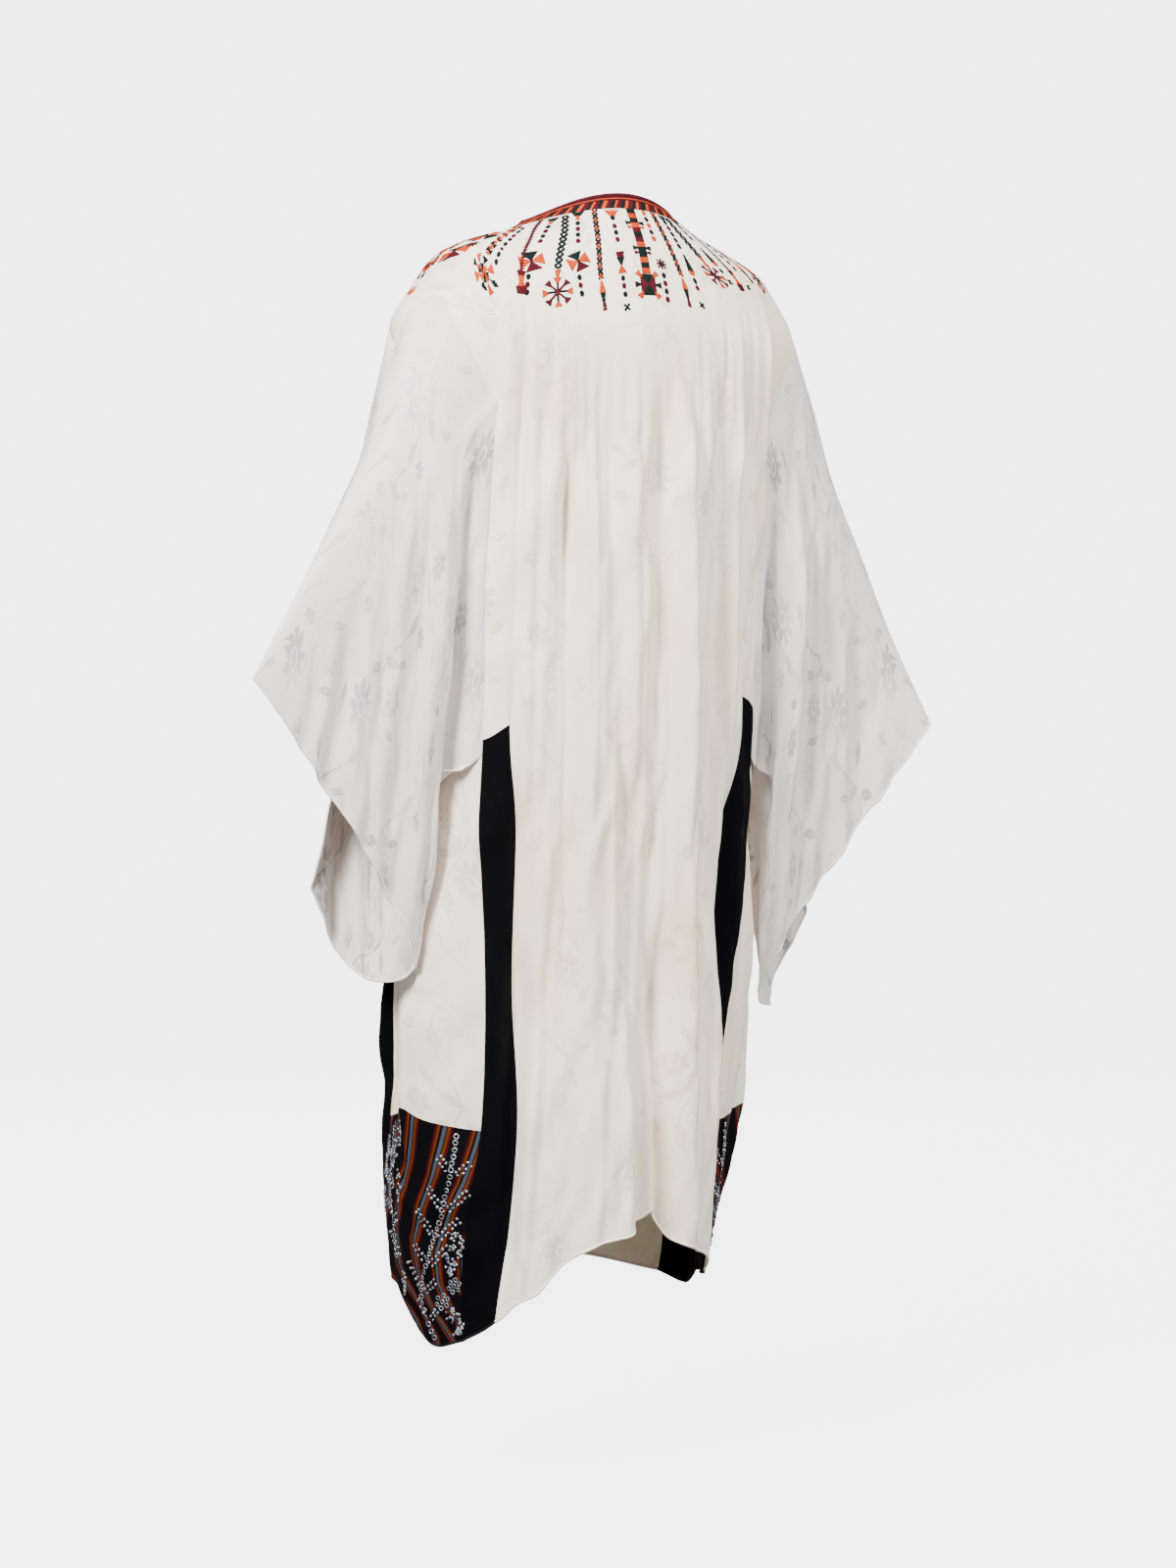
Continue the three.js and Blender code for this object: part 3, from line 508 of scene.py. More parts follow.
def sleeve_section(values, shares, is_back, sign, drop):
    s = dict(zip(SLEEVE_COLUMNS, values))
    down = (1 - np.cos(math.pi * shares)) / 2
    sag = np.where(is_back, s["back_sag"], s["front_sag"])
    stand_x = np.sin(math.pi * shares**sag) ** 0.8
    stand_y = np.sin(math.pi * shares ** np.where(is_back, (1 + sag) / 2, 1.3)) ** 0.6
    tuck = np.where(is_back, 0, s["front_tuck"] * np.sin(math.pi * np.minimum(shares / TUCK_END, 1)))
    off_x = np.where(is_back, s["back_x"], s["front_x"]) * stand_x + tuck
    off_y = np.where(is_back, s["back_y"], s["front_y"]) * stand_y
    return np.stack([
        sign * (mix(s["top_x"], s["bottom_x"], down) + off_x),
        mix(s["top_y"], s["bottom_y"], down) + off_y,
        mix(s["top_z"], s["bottom_z"], down) + drop,
    ], axis=-1)


def make_sleeve(body, side):
    sign = 1 if side == "left" else -1
    armhole = np.array(armhole_loop(sign))
    loop = body.points[armhole[:, 0], armhole[:, 1]]
    bottom = len(armhole) // 2
    shares = np.clip(down_shares(loop, bottom), 0, 1)
    is_back = np.arange(len(loop)) <= bottom
    stations = [loop]
    for i, section in enumerate(SLEEVE_SECTIONS):
        drop = SLEEVE_HANG[side] * ((i + 1) / len(SLEEVE_SECTIONS)) ** 2
        stations.append(sleeve_section(section, shares, is_back, sign, drop))
    stations = np.array(stations)
    points = np.empty((len(SLEEVE_STEPS), len(loop), 3))
    for j in range(len(loop)):
        for axis in range(3):
            points[:, j, axis] = through_rows(np.arange(6.0), stations[:, j, axis], SLEEVE_STEPS)
    across, z = np.abs(points[..., 0]), points[..., 2]
    along_fade = smooth(SLEEVE_STEPS / SLEEVE_FOLD_START)[:, None]
    ends = along_fade * (smooth((shares - 0.12) / 0.25) * smooth((1 - shares) / 0.15))
    back = fold_rise(SLEEVE_BACK_FOLDS, across, z) + fold_rise(SLEEVE_BACK_CREASES, across, z, CREASE_FADE)
    front = fold_rise(SLEEVE_FRONT_FOLDS, across, z)
    front += fold_rise(SLEEVE_FRONT_CREASES, across, z, CREASE_FADE)
    rise = np.where(is_back, back, front) + wave_rise(across + 20 * sign, z)
    points = points + grid_normals(points, -sign) * (rise * ends)[..., None]
    sleeve = Cloth(points, -sign)
    sleeve.shares, sleeve.is_back, sleeve.armhole = shares, is_back, armhole
    return sleeve


# Walls whose normals agree at least this much count as one smooth cloth.
SMOOTH_JOIN = 0.4


def join_normals(body, sleeve):
    """At an armhole the two walls end on one face where the cloth runs on smoothly."""
    rows, columns = sleeve.armhole.T
    own, other = sleeve.normals[0], body.normals[rows, columns]
    close = (own * other).sum(axis=1) > SMOOTH_JOIN
    joined = unit(own + other)
    sleeve.normals[0][close] = joined[close]
    body.normals[rows[close], columns[close]] = joined[close]


# ---------------------------------------------------------------- cutting pieces from the grids


def new_object(name, vertices, faces, material, smooth_faces=True):
    mesh = bpy.data.meshes.new(name)
    mesh.from_pydata(np.asarray(vertices).tolist(), [], [tuple(f) for f in np.asarray(faces).tolist()])
    if smooth_faces:
        mesh.polygons.foreach_set("use_smooth", [True] * len(mesh.polygons))
    mesh.materials.append(material)
    piece = bpy.data.objects.new(name, mesh)
    bpy.context.scene.collection.objects.link(piece)
    return piece


def set_uv(piece, u, v):
    """The cut's own measures in metres, across and down, as the UV map that patterns read."""
    layer = piece.data.uv_layers.new(name="cut")
    corner = np.empty(len(piece.data.loops), dtype=int)
    piece.data.loops.foreach_get("vertex_index", corner)
    layer.data.foreach_set("uv", np.stack([u[corner], v[corner]], axis=1).ravel())


def cut_piece(name, cloth, cells, material, u, v):
    """A closed thin shell from the grid's cells that are marked in `cells`."""
    columns = cells.shape[1]
    row, column = np.nonzero(cells)
    following = (column + 1) % columns
    quads = np.stack([
        row * columns + column, (row + 1) * columns + column,
        (row + 1) * columns + following, row * columns + following,
    ], axis=1)
    if cloth.outward > 0:
        quads = quads[:, ::-1]
    used, quads = np.unique(quads, return_inverse=True)
    quads = quads.reshape(-1, 4)
    points = cloth.points.reshape(-1, 3)[used]
    normals = cloth.normals.reshape(-1, 3)[used]
    count = len(used)
    starts, ends = quads.ravel(), np.roll(quads, -1, axis=1).ravel()
    is_rim = ~np.isin(starts * count + ends, ends * count + starts)
    starts, ends = starts[is_rim], ends[is_rim]
    inward = unit(np.cross(normals[starts], points[ends] - points[starts]))
    shift = np.zeros_like(points)
    np.add.at(shift, starts, inward)
    inward = unit(np.cross(normals[ends], points[ends] - points[starts]))
    np.add.at(shift, ends, inward)
    on_rim = np.zeros(count)
    on_rim[starts] = 1
    edge = points + unit(shift) * on_rim[:, None] * SEAM_GAP / 2
    outer = edge - normals * (on_rim * SEAM_DIP)[:, None]
    inner = edge - normals * CLOTH_THICKNESS
    rim = np.stack([starts, starts + count, ends + count, ends], axis=1)
    faces = [quads, (quads + count)[:, ::-1], rim]
    piece = new_object(name, np.concatenate([outer, inner]) * MM, np.concatenate(faces), material)
    u, v = u.reshape(-1)[used] * MM, v.reshape(-1)[used] * MM
    set_uv(piece, np.concatenate([u, u]), np.concatenate([v, v]))
    piece.data.set_sharp_from_angle(angle=RIM_ANGLE)
    return piece


# ---------------------------------------------------------------- finishes


class Finish:
    """A material whose nodes are added one by one round its shader."""

    def __init__(self, name, **shader_values):
        self.material = bpy.data.materials.new(name)
        self.material.use_nodes = True
        self.tree = self.material.node_tree
        self.shader = self.tree.nodes["Principled BSDF"]
        for socket, value in shader_values.items():
            self.shader.inputs[socket.replace("_", " ")].default_value = value

    def node(self, kind, inputs=(), **settings):
        node = self.tree.nodes.new("ShaderNode" + kind)
        for key, value in settings.items():
            setattr(node, key, value)
        for socket, value in dict(inputs).items():
            self.feed(node.inputs[socket], value)
        return node

    def feed(self, socket, value):
        if isinstance(value, bpy.types.NodeSocket):
            self.tree.links.new(value, socket)
        else:
            socket.default_value = value

    def maths(self, operation, *values):
        node = self.node("Math", operation=operation)
        for socket, value in zip(node.inputs, values):
            self.feed(socket, value)
        return node.outputs[0]

    def blend(self, share, low, high):
        """A colour between `low` and `high`."""
        node = self.node("Mix", data_type="RGBA")
        self.feed(node.inputs["Factor"], share)
        self.feed(node.inputs[6], low)
        self.feed(node.inputs[7], high)
        return node.outputs[2]

    def between(self, value, low, high, out_low=0.0, out_high=1.0):
        """`value` read on a scale from `low` to `high`, eased and kept inside it."""
        node = self.node("MapRange", interpolation_type="SMOOTHSTEP")
        for socket, number in zip(node.inputs, (value, low, high, out_low, out_high)):
            self.feed(socket, number)
        return node.outputs[0]

    def cut_measures(self):
        """The cloth's own measures across and down, in metres."""
        coordinates = self.node("UVMap", uv_map="cut").outputs[0]
        parts = self.node("SeparateXYZ", {0: coordinates})
        return coordinates, parts.outputs[0], parts.outputs[1]

    def object_place(self):
        return self.node("TexCoord").outputs["Object"]

    def noise(self, vector, scale, detail=3.0, roughness=0.5):
        inputs = {"Vector": vector, "Scale": scale, "Detail": detail, "Roughness": roughness}
        return self.node("TexNoise", inputs).outputs[0]

    def stretched(self, vector, across, down):
        inputs = {"Vector": vector, "Scale": (across, down, 1.0)}
        return self.node("Mapping", inputs).outputs[0]

    def use_colour(self, colour):
        self.feed(self.shader.inputs["Base Color"], colour)

    def use_roughness(self, value):
        self.feed(self.shader.inputs["Roughness"], value)

    def use_relief(self, height, strength, distance):
        inputs = {"Height": height, "Strength": strength, "Distance": distance}
        self.feed(self.shader.inputs["Normal"], self.node("Bump", inputs).outputs[0])


def linear(red, green, blue):
    """A colour as it looks on a screen, 0 to 255, turned into the light it stands for."""

    def one(value):
        value /= 255
        return value / 12.92 if value <= 0.04045 else ((value + 0.055) / 1.055) ** 2.4

    return (one(red), one(green), one(blue), 1.0)


# The woven spray repeats in a cell, and every second column of cells is dropped by half.
SPRAY_WIDTH, SPRAY_HEIGHT = 0.112, 0.156
# Flowers: (x, y, radius, petals); leaves: (x, y, turn in degrees, half length, half width), millimetres.
SPRAY_FLOWERS = ((-15, 20, 23, 9), (23, -30, 15, 7), (33, 44, 9, 5))
SPRAY_LEAVES = (
    (5, -8, 62, 16, 5), (-24, -18, 128, 14, 4.5), (20, 6, 18, 14, 4.5), (40, -8, -34, 11, 4),
    (-42, 44, 58, 14, 4.5), (8, 52, 100, 15, 5), (-6, -46, 150, 15, 4.5), (-40, -52, 35, 12, 4),
    (14, -62, -50, 12, 4),
)


def woven_sprays(f, cut, across, down):
    """1 where the jacquard's flowers, leaves and stems are woven, 0 on the ground between them."""
    column = f.maths("DIVIDE", across, SPRAY_WIDTH)
    odd = f.maths("FLOORED_MODULO", f.maths("FLOOR", column), 2.0)
    row = f.maths("ADD", f.maths("DIVIDE", down, SPRAY_HEIGHT), f.maths("MULTIPLY", odd, 0.5))
    x = f.maths("MULTIPLY", f.maths("SUBTRACT", f.maths("FRACT", column), 0.5), SPRAY_WIDTH * 1000)
    y = f.maths("MULTIPLY", f.maths("SUBTRACT", f.maths("FRACT", row), 0.5), SPRAY_HEIGHT * 1000)
    wobble = f.maths("MULTIPLY", f.maths("SUBTRACT", f.noise(cut, 90.0, 3.0), 0.5), 9.0)
    x = f.maths("ADD", x, wobble)
    cell = f.node("CombineXYZ", {0: x, 1: y}).outputs[0]

    def placed(px, py, turn, length, width):
        inputs = {
            "Vector": cell, "Location": (px, py, 0), "Rotation": (0, 0, math.radians(turn)),
            "Scale": (length, width, 1),
        }
        vector = f.node("Mapping", inputs, vector_type="TEXTURE").outputs[0]
        parts = f.node("SeparateXYZ", {0: vector})
        return vector, parts.outputs[0], parts.outputs[1]

    nearest = f.maths("DIVIDE", f.maths("ABSOLUTE", f.maths(
        "SUBTRACT", x, f.maths("MULTIPLY", f.maths("SINE", f.maths("MULTIPLY", y, 0.0403)), 12.0))), 0.9)
    for px, py, turn, length, width in SPRAY_LEAVES:
        _, a, b = placed(px, py, turn, length, width)
        leaf = f.maths("ADD", f.maths("MULTIPLY", a, a), f.maths("ABSOLUTE", b))
        vein = f.maths("SUBTRACT", 1.25, f.maths("MULTIPLY", f.maths("ABSOLUTE", b), 4.0))
        nearest = f.maths("MINIMUM", nearest, f.maths("MAXIMUM", leaf, vein))
    for px, py, radius, petals in SPRAY_FLOWERS:
        vector, a, b = placed(px, py, 17, radius, radius)
        away = f.node("VectorMath", {0: vector}, operation="LENGTH").outputs["Value"]
        turn = f.maths("MULTIPLY", f.maths("ARCTAN2", b, a), petals / 2)
        lobe = f.maths("ABSOLUTE", f.maths("COSINE", turn))
        edge = f.maths("ADD", 0.5, f.maths("MULTIPLY", lobe, 0.5))
        flower = f.maths("DIVIDE", away, edge)
        heart = f.maths("SUBTRACT", 1.5, f.maths("MULTIPLY", f.maths(
            "ABSOLUTE", f.maths("SUBTRACT", away, 0.3)), 9.0))
        nearest = f.maths("MINIMUM", nearest, f.maths("MAXIMUM", flower, heart))
    return f.between(nearest, 0.9, 1.12, 1.0, 0.0)


def silk_jacquard(name, ground, figure, warm, figure_strength):
    """Silk with woven sprays in its own colour, which show as a change of gloss and a little of tone; that
    tone is painted sheen, the darker look of the satin figure where it reflects less.
    """
    f = Finish(
        name, Sheen_Weight=0.12, Sheen_Roughness=0.3, Specular_IOR_Level=0.5,
        Subsurface_Weight=0.12, Subsurface_Radius=(0.004, 0.003, 0.002), Subsurface_Scale=1.0,
    )
    cut, across, down = f.cut_measures()
    sprays = woven_sprays(f, cut, across, down)
    # Random patches where the figure shows more and where less; they scale its painted sheen tone as well
    # as its gloss.
    figure_patches = f.between(f.noise(f.stretched(cut, 11, 7), 1.0, 3.0, 0.6), 0.4, 0.62, 0.12, 1.0)
    figure_share = f.maths("MULTIPLY", f.maths("MULTIPLY", sprays, figure_patches), figure_strength)
    # Long warm clouds down the cloth: partly tone that varies at random, partly painted warm shade like
    # that between folds, laid at random places rather than on the folds.
    mottling_and_warm_shade = f.between(f.noise(f.stretched(cut, 9, 3.2), 1.0, 2.0, 0.5), 0.42, 0.68)
    stains = f.between(f.noise(f.stretched(cut, 38, 24), 1.0, 5.0, 0.7), 0.5, 0.72)
    colour = f.blend(f.maths("MULTIPLY", mottling_and_warm_shade, 0.55), ground, warm)
    colour = f.blend(f.maths("MULTIPLY", stains, 0.16), colour, figure)
    # The figure's darker, greyer tone is painted sheen.
    f.use_colour(f.blend(figure_share, colour, figure))
    f.use_roughness(f.between(figure_share, 0.0, 0.6, 0.5, 0.36))
    warp = f.noise(f.stretched(cut, 2400, 160), 1.0, 2.0)
    weft = f.noise(f.stretched(cut, 160, 2400), 1.0, 2.0)
    slubs = f.noise(f.stretched(cut, 26, 420), 1.0, 3.0)
    weave = f.maths("ADD", f.maths("ADD", warp, weft), f.maths("MULTIPLY", slubs, 0.8))
    f.use_relief(f.maths("ADD", weave, f.maths("MULTIPLY", sprays, 0.9)), 0.3, 0.00035)
    return f.material


def black_crepe():
    f = Finish("black crepe", Specular_IOR_Level=0.04)
    cut = f.cut_measures()[0]
    grain = f.noise(f.stretched(cut, 1500, 1500), 1.0, 3.0)
    rub = f.noise(f.stretched(cut, 30, 8), 1.0, 3.0)
    f.use_colour(f.blend(f.maths("MULTIPLY", grain, rub), linear(2, 2, 4), linear(9, 8, 12)))
    f.use_roughness(f.between(rub, 0.3, 0.7, 0.72, 0.9))
    f.use_relief(grain, 0.5, 0.0005)
    return f.material


# One group of stripes, as shares of the distance from group to group: (start, colour).
STRIPE_REPEAT = 0.04
STRIPES = (
    (0.0, (60, 2, 9)), (0.068, (92, 40, 8)), (0.155, (4, 2, 5)), (0.185, (60, 64, 76)),
    (0.295, (3, 2, 4)), (0.365, (90, 38, 8)), (0.445, (58, 2, 9)), (0.515, (3, 2, 4)),
)


def striped_cloth():
    f = Finish("black cloth with woven stripes", Specular_IOR_Level=0.06)
    cut, across, _ = f.cut_measures()
    uneven = f.maths("SUBTRACT", f.noise(f.stretched(cut, 60, 900), 1.0, 2.0), 0.5)
    shake = f.maths("MULTIPLY", uneven, 0.02)
    share = f.maths("FRACT", f.maths("ADD", f.maths("DIVIDE", across, STRIPE_REPEAT), shake))
    bands = f.node("ValToRGB", {0: share})
    ramp = bands.color_ramp
    ramp.interpolation = "CONSTANT"
    for i, (start, colour) in enumerate(STRIPES):
        stop = ramp.elements[i] if i < 1 else ramp.elements.new(start)
        stop.position = start
        stop.color = linear(*colour)
    ramp.elements.remove(ramp.elements[-1])
    weave = f.noise(f.stretched(cut, 900, 1500), 1.0, 3.0)
    f.use_colour(f.blend(f.maths("MULTIPLY", weave, 0.35), bands.outputs[0], linear(5, 4, 7)))
    f.use_roughness(f.between(weave, 0.3, 0.7, 0.66, 0.82))
    f.use_relief(weave, 0.6, 0.0004)
    return f.material


def silk_thread(name, dark, light, roughness=0.7):
    """Twisted silk thread, a little uneven from strand to strand."""
    f = Finish(name, Roughness=roughness, Specular_IOR_Level=0.12)
    place = f.object_place()
    strands = f.noise(place, 900.0, 2.0)
    dye = f.noise(place, 70.0, 2.0)
    both = f.maths("ADD", f.maths("MULTIPLY", strands, 0.6), f.maths("MULTIPLY", dye, 0.4))
    share = f.between(both, 0.35, 0.65)
    f.use_colour(f.blend(share, dark, light))
    f.use_relief(strands, 0.5, 0.0002)
    return f.material


def band_ground():
    f = Finish("dark maroon band cloth", Specular_IOR_Level=0.12)
    cut = f.cut_measures()[0]
    ribs = f.noise(f.stretched(cut, 1200, 300), 1.0, 2.0)
    f.use_colour(f.blend(ribs, linear(22, 3, 9), linear(58, 8, 22)))
    f.use_roughness(f.between(ribs, 0.3, 0.7, 0.55, 0.75))
    f.use_relief(ribs, 0.6, 0.0004)
    return f.material


def sequin_finish():
    """Silvered sequins, each caught by the light at its own tilt and a little tarnished."""
    f = Finish("silvered sequin", Metallic=0.85, Specular_IOR_Level=0.6)
    place = f.object_place()
    tarnish = f.noise(place, 160.0, 2.0)
    f.use_colour(f.blend(f.between(tarnish, 0.35, 0.7), linear(196, 200, 206), linear(96, 104, 120)))
    f.use_roughness(f.between(tarnish, 0.3, 0.7, 0.16, 0.36))
    f.use_relief(f.noise(place, 1400.0, 2.0), 0.2, 0.0002)
    return f.material


# ---------------------------------------------------------------- copies laid on the cloth

# A stitch as laid: its width and height over the cloth, millimetres.
THREAD_WIDTH, THREAD_HEIGHT = 1.6, 0.9


def copies_tree(name, build_shape):
    """A tree that lays one shape on every point, turned and sized by the point's own attributes."""
    tree = bpy.data.node_groups.new(name, "GeometryNodeTree")
    face = tree.interface
    face.new_socket("Places", in_out="INPUT", socket_type="NodeSocketGeometry")
    face.new_socket("Finish", in_out="INPUT", socket_type="NodeSocketMaterial")
    face.new_socket("Laid copies", in_out="OUTPUT", socket_type="NodeSocketGeometry")

    def node(kind, **settings):
        made = tree.nodes.new(kind)
        for key, value in settings.items():
            setattr(made, key, value)
        return made

    def attribute(attribute_name):
        read = node("GeometryNodeInputNamedAttribute", data_type="FLOAT_VECTOR")
        read.inputs["Name"].default_value = attribute_name
        return read.outputs["Attribute"]

    shape = build_shape(tree, node)
    given = node("NodeGroupInput")
    lay = node("GeometryNodeInstanceOnPoints")
    turn = node("FunctionNodeEulerToRotation")
    realize = node("GeometryNodeRealizeInstances")
    smooth_faces = node("GeometryNodeSetShadeSmooth")
    paint = node("GeometryNodeSetMaterial")
    result = node("NodeGroupOutput")
    link = tree.links.new
    link(attribute("turn"), turn.inputs[0])
    link(given.outputs["Places"], lay.inputs["Points"])
    link(shape, lay.inputs["Instance"])
    link(turn.outputs[0], lay.inputs["Rotation"])
    link(attribute("size"), lay.inputs["Scale"])
    link(lay.outputs[0], realize.inputs[0])
    link(realize.outputs[0], smooth_faces.inputs["Geometry"])
    link(smooth_faces.outputs[0], paint.inputs["Geometry"])
    link(given.outputs["Finish"], paint.inputs["Material"])
    link(paint.outputs[0], result.inputs[0])
    return tree


def number_input(tree, name, value, kind="NodeSocketFloat"):
    socket = tree.interface.new_socket(name, in_out="INPUT", socket_type=kind)
    socket.default_value = value


def thread_shape(tree, node):
    """A stitch one unit long and wide: a rod drawn in at both of its ends."""
    number_input(tree, "Sides", 6, "NodeSocketInt")
    number_input(tree, "Half size", 0.5)
    number_input(tree, "Stretch", 2.55)
    given, rod = node("NodeGroupInput"), node("GeometryNodeMeshCylinder")
    rod.inputs["Side Segments"].default_value = 3
    rod.inputs["Depth"].default_value = 1.0
    tree.links.new(given.outputs["Sides"], rod.inputs["Vertices"])
    tree.links.new(given.outputs["Half size"], rod.inputs["Radius"])

    def maths(operation, a, b):
        made = node("ShaderNodeMath", operation=operation)
        for socket, value in zip(made.inputs, (a, b)):
            if isinstance(value, (int, float)):
                socket.default_value = value
            else:
                tree.links.new(value, socket)
        return made.outputs[0]

    spot, parts = node("GeometryNodeInputPosition"), node("ShaderNodeSeparateXYZ")
    tree.links.new(spot.outputs[0], parts.inputs[0])
    x, y, z = parts.outputs
    run = maths("MINIMUM", maths("MAXIMUM", maths("MULTIPLY", z, given.outputs["Stretch"]), -0.5), 0.5)
    is_end = maths("GREATER_THAN", maths("ABSOLUTE", z, 0), 0.4)
    girth = maths("SUBTRACT", 1.0, maths("MULTIPLY", is_end, 0.5))
    joined, move = node("ShaderNodeCombineXYZ"), node("GeometryNodeSetPosition")
    width, height = maths("MULTIPLY", y, girth), maths("MULTIPLY", x, girth)
    for socket, value in zip(joined.inputs, (run, width, height)):
        tree.links.new(value, socket)
    tree.links.new(rod.outputs["Mesh"], move.inputs["Geometry"])
    tree.links.new(joined.outputs[0], move.inputs["Position"])
    return move.outputs["Geometry"]


def ring_sequin_shape(tree, node):
    """A ring one unit across with a round rim."""
    number_input(tree, "Sides", 12, "NodeSocketInt")
    number_input(tree, "Rim sides", 4, "NodeSocketInt")
    number_input(tree, "Ring radius", 0.36)
    number_input(tree, "Rim radius", 0.14)
    given = node("NodeGroupInput")
    ring, rim = node("GeometryNodeCurvePrimitiveCircle"), node("GeometryNodeCurvePrimitiveCircle")
    sweep = node("GeometryNodeCurveToMesh")
    tree.links.new(given.outputs["Sides"], ring.inputs["Resolution"])
    tree.links.new(given.outputs["Ring radius"], ring.inputs["Radius"])
    tree.links.new(given.outputs["Rim sides"], rim.inputs["Resolution"])
    tree.links.new(given.outputs["Rim radius"], rim.inputs["Radius"])
    tree.links.new(ring.outputs[0], sweep.inputs["Curve"])
    tree.links.new(rim.outputs[0], sweep.inputs["Profile Curve"])
    return sweep.outputs[0]


def cup_sequin_shape(tree, node):
    """A faceted cup one unit across."""
    number_input(tree, "Sides", 7, "NodeSocketInt")
    number_input(tree, "Inner radius", 0.2)
    number_input(tree, "Outer radius", 0.5)
    number_input(tree, "Cup depth", 1.0)
    given, cup = node("NodeGroupInput"), node("GeometryNodeMeshCone")
    pairs = (("Sides", "Vertices"), ("Inner radius", "Radius Top"), ("Outer radius", "Radius Bottom"))
    for name, socket in (*pairs, ("Cup depth", "Depth")):
        tree.links.new(given.outputs[name], cup.inputs[socket])
    return cup.outputs["Mesh"]


def lay_copies(name, tree, finish, places, along, normals, sizes, numbers=()):
    """A plain mesh of copies at `places`, each with its length `along` and its height up the normal."""
    points = bpy.data.meshes.new(name + "_places")
    points.from_pydata((places * MM).tolist(), [], [])
    forward = unit(along)
    side = unit(np.cross(normals, forward))
    up = np.cross(forward, side)
    turns = [Matrix(np.column_stack(axes).tolist()).to_euler() for axes in zip(forward, side, up)]
    for attribute, values in (("turn", np.array(turns)), ("size", sizes * MM)):
        layer = points.attributes.new(attribute, "FLOAT_VECTOR", "POINT")
        layer.data.foreach_set("vector", np.asarray(values, float).ravel())
    holder = bpy.data.objects.new(name + "_places", points)
    bpy.context.scene.collection.objects.link(holder)
    laying = holder.modifiers.new("lay copies", "NODES")
    laying.node_group = tree
    given = {"Finish": finish, **dict(numbers)}
    for socket in tree.interface.items_tree:
        if socket.in_out == "INPUT" and socket.name in given:
            laying[socket.identifier] = given[socket.name]
    view = bpy.context.evaluated_depsgraph_get()
    mesh = bpy.data.meshes.new_from_object(holder.evaluated_get(view), depsgraph=view)
    bpy.data.objects.remove(holder)
    mesh.name = name
    for attribute in ("turn", "size"):
        if attribute in mesh.attributes:
            mesh.attributes.remove(mesh.attributes[attribute])
    mesh.materials.clear()
    mesh.materials.append(finish)
    piece = bpy.data.objects.new(name, mesh)
    bpy.context.scene.collection.objects.link(piece)
    return piece


# ---------------------------------------------------------------- embroidery

# The rays of the yoke: (kind, top place, top down, bottom place, bottom down, size). "Down" is measured
# along the cloth from the seam under the neck band. The front has the same rays, place by place.
RAYS = (
    ("block_band", 0.03, 0, 0.03, 88, 1.0),
    ("tulip_line", 0.36, 2, 0.24, 128, 1.0),
    ("cross_chain", 0.63, 1, 0.42, 134, 1.0),
    ("flower_line", 0.9, 1, 0.6, 130, 0.9),
    ("wheel_line", 1.28, 2, 0.86, 104, 1.0),
    ("flower_line", 1.8, 5, 1.25, 142, 1.0),
    ("comb_line", 2.16, 2, 1.64, 104, 1.0),
    ("dots_and_cross", 2.28, 26, 2.1, 124, 1.0),
    ("wheel_column", 2.47, 10, 2.27, 96, 1.0),
    ("small_star", 2.6, 72, 2.6, 76, 1.0),
    ("bow_line", 2.66, 34, 2.74, 116, 1.0),
    ("drop_line", 2.9, 48, 2.97, 158, 1.0),
    ("star_line", -0.2, 2, -0.13, 124, 1.0),
    ("cross_chain", -0.38, 1, -0.34, 122, 0.9),
    ("triangle_line", -0.56, 2, -0.47, 120, 1.0),
    ("wheel_line", -0.68, 1, -0.78, 68, 0.9),
    ("triangle_line", -0.9, 1, -0.97, 92, 0.95),
    ("comb_line", -1.4, 2, -1.32, 78, 0.8),
    ("dots_and_cross", -1.95, 3, -1.75, 100, 1.0),
    ("cross_chain", -2.14, 2, -2.08, 96, 0.9),
    ("wheel_line", -2.3, 2, -2.3, 78, 0.95),
    ("flower_line", -2.46, 4, -2.5, 118, 0.9),
    ("wheel_column", -2.62, 10, -2.68, 84, 0.9),
    ("bow_line", -2.78, 34, -2.82, 112, 1.0),
    ("drop_line", -2.93, 48, -2.97, 150, 1.0),
)
THREAD_COLOURS = {
    "orange": (linear(138, 36, 0), linear(182, 62, 0)),
    "maroon": (linear(50, 1, 12), linear(72, 2, 17)),
    "green": (linear(2, 8, 7), linear(4, 19, 15)),
}
STITCH_PITCH = 0.95


class Needlework:
    """Stitches on one cloth, gathered by the colour of their thread."""

    def __init__(self, cloth, first_row):
        self.cloth = cloth
        self.first_row = first_row
        self.ends = {colour: [] for colour in THREAD_COLOURS}
        self.widths = {colour: [] for colour in THREAD_COLOURS}

    def stitch(self, colour, start, end, width=THREAD_WIDTH):
        """One stitch between two spots, each (column, down, across)."""
        spots = [self.cloth.find(spot[0], self.first_row, spot[1], spot[2]) for spot in (start, end)]
        self.ends[colour].append(spots)
        self.widths[colour].append(width)


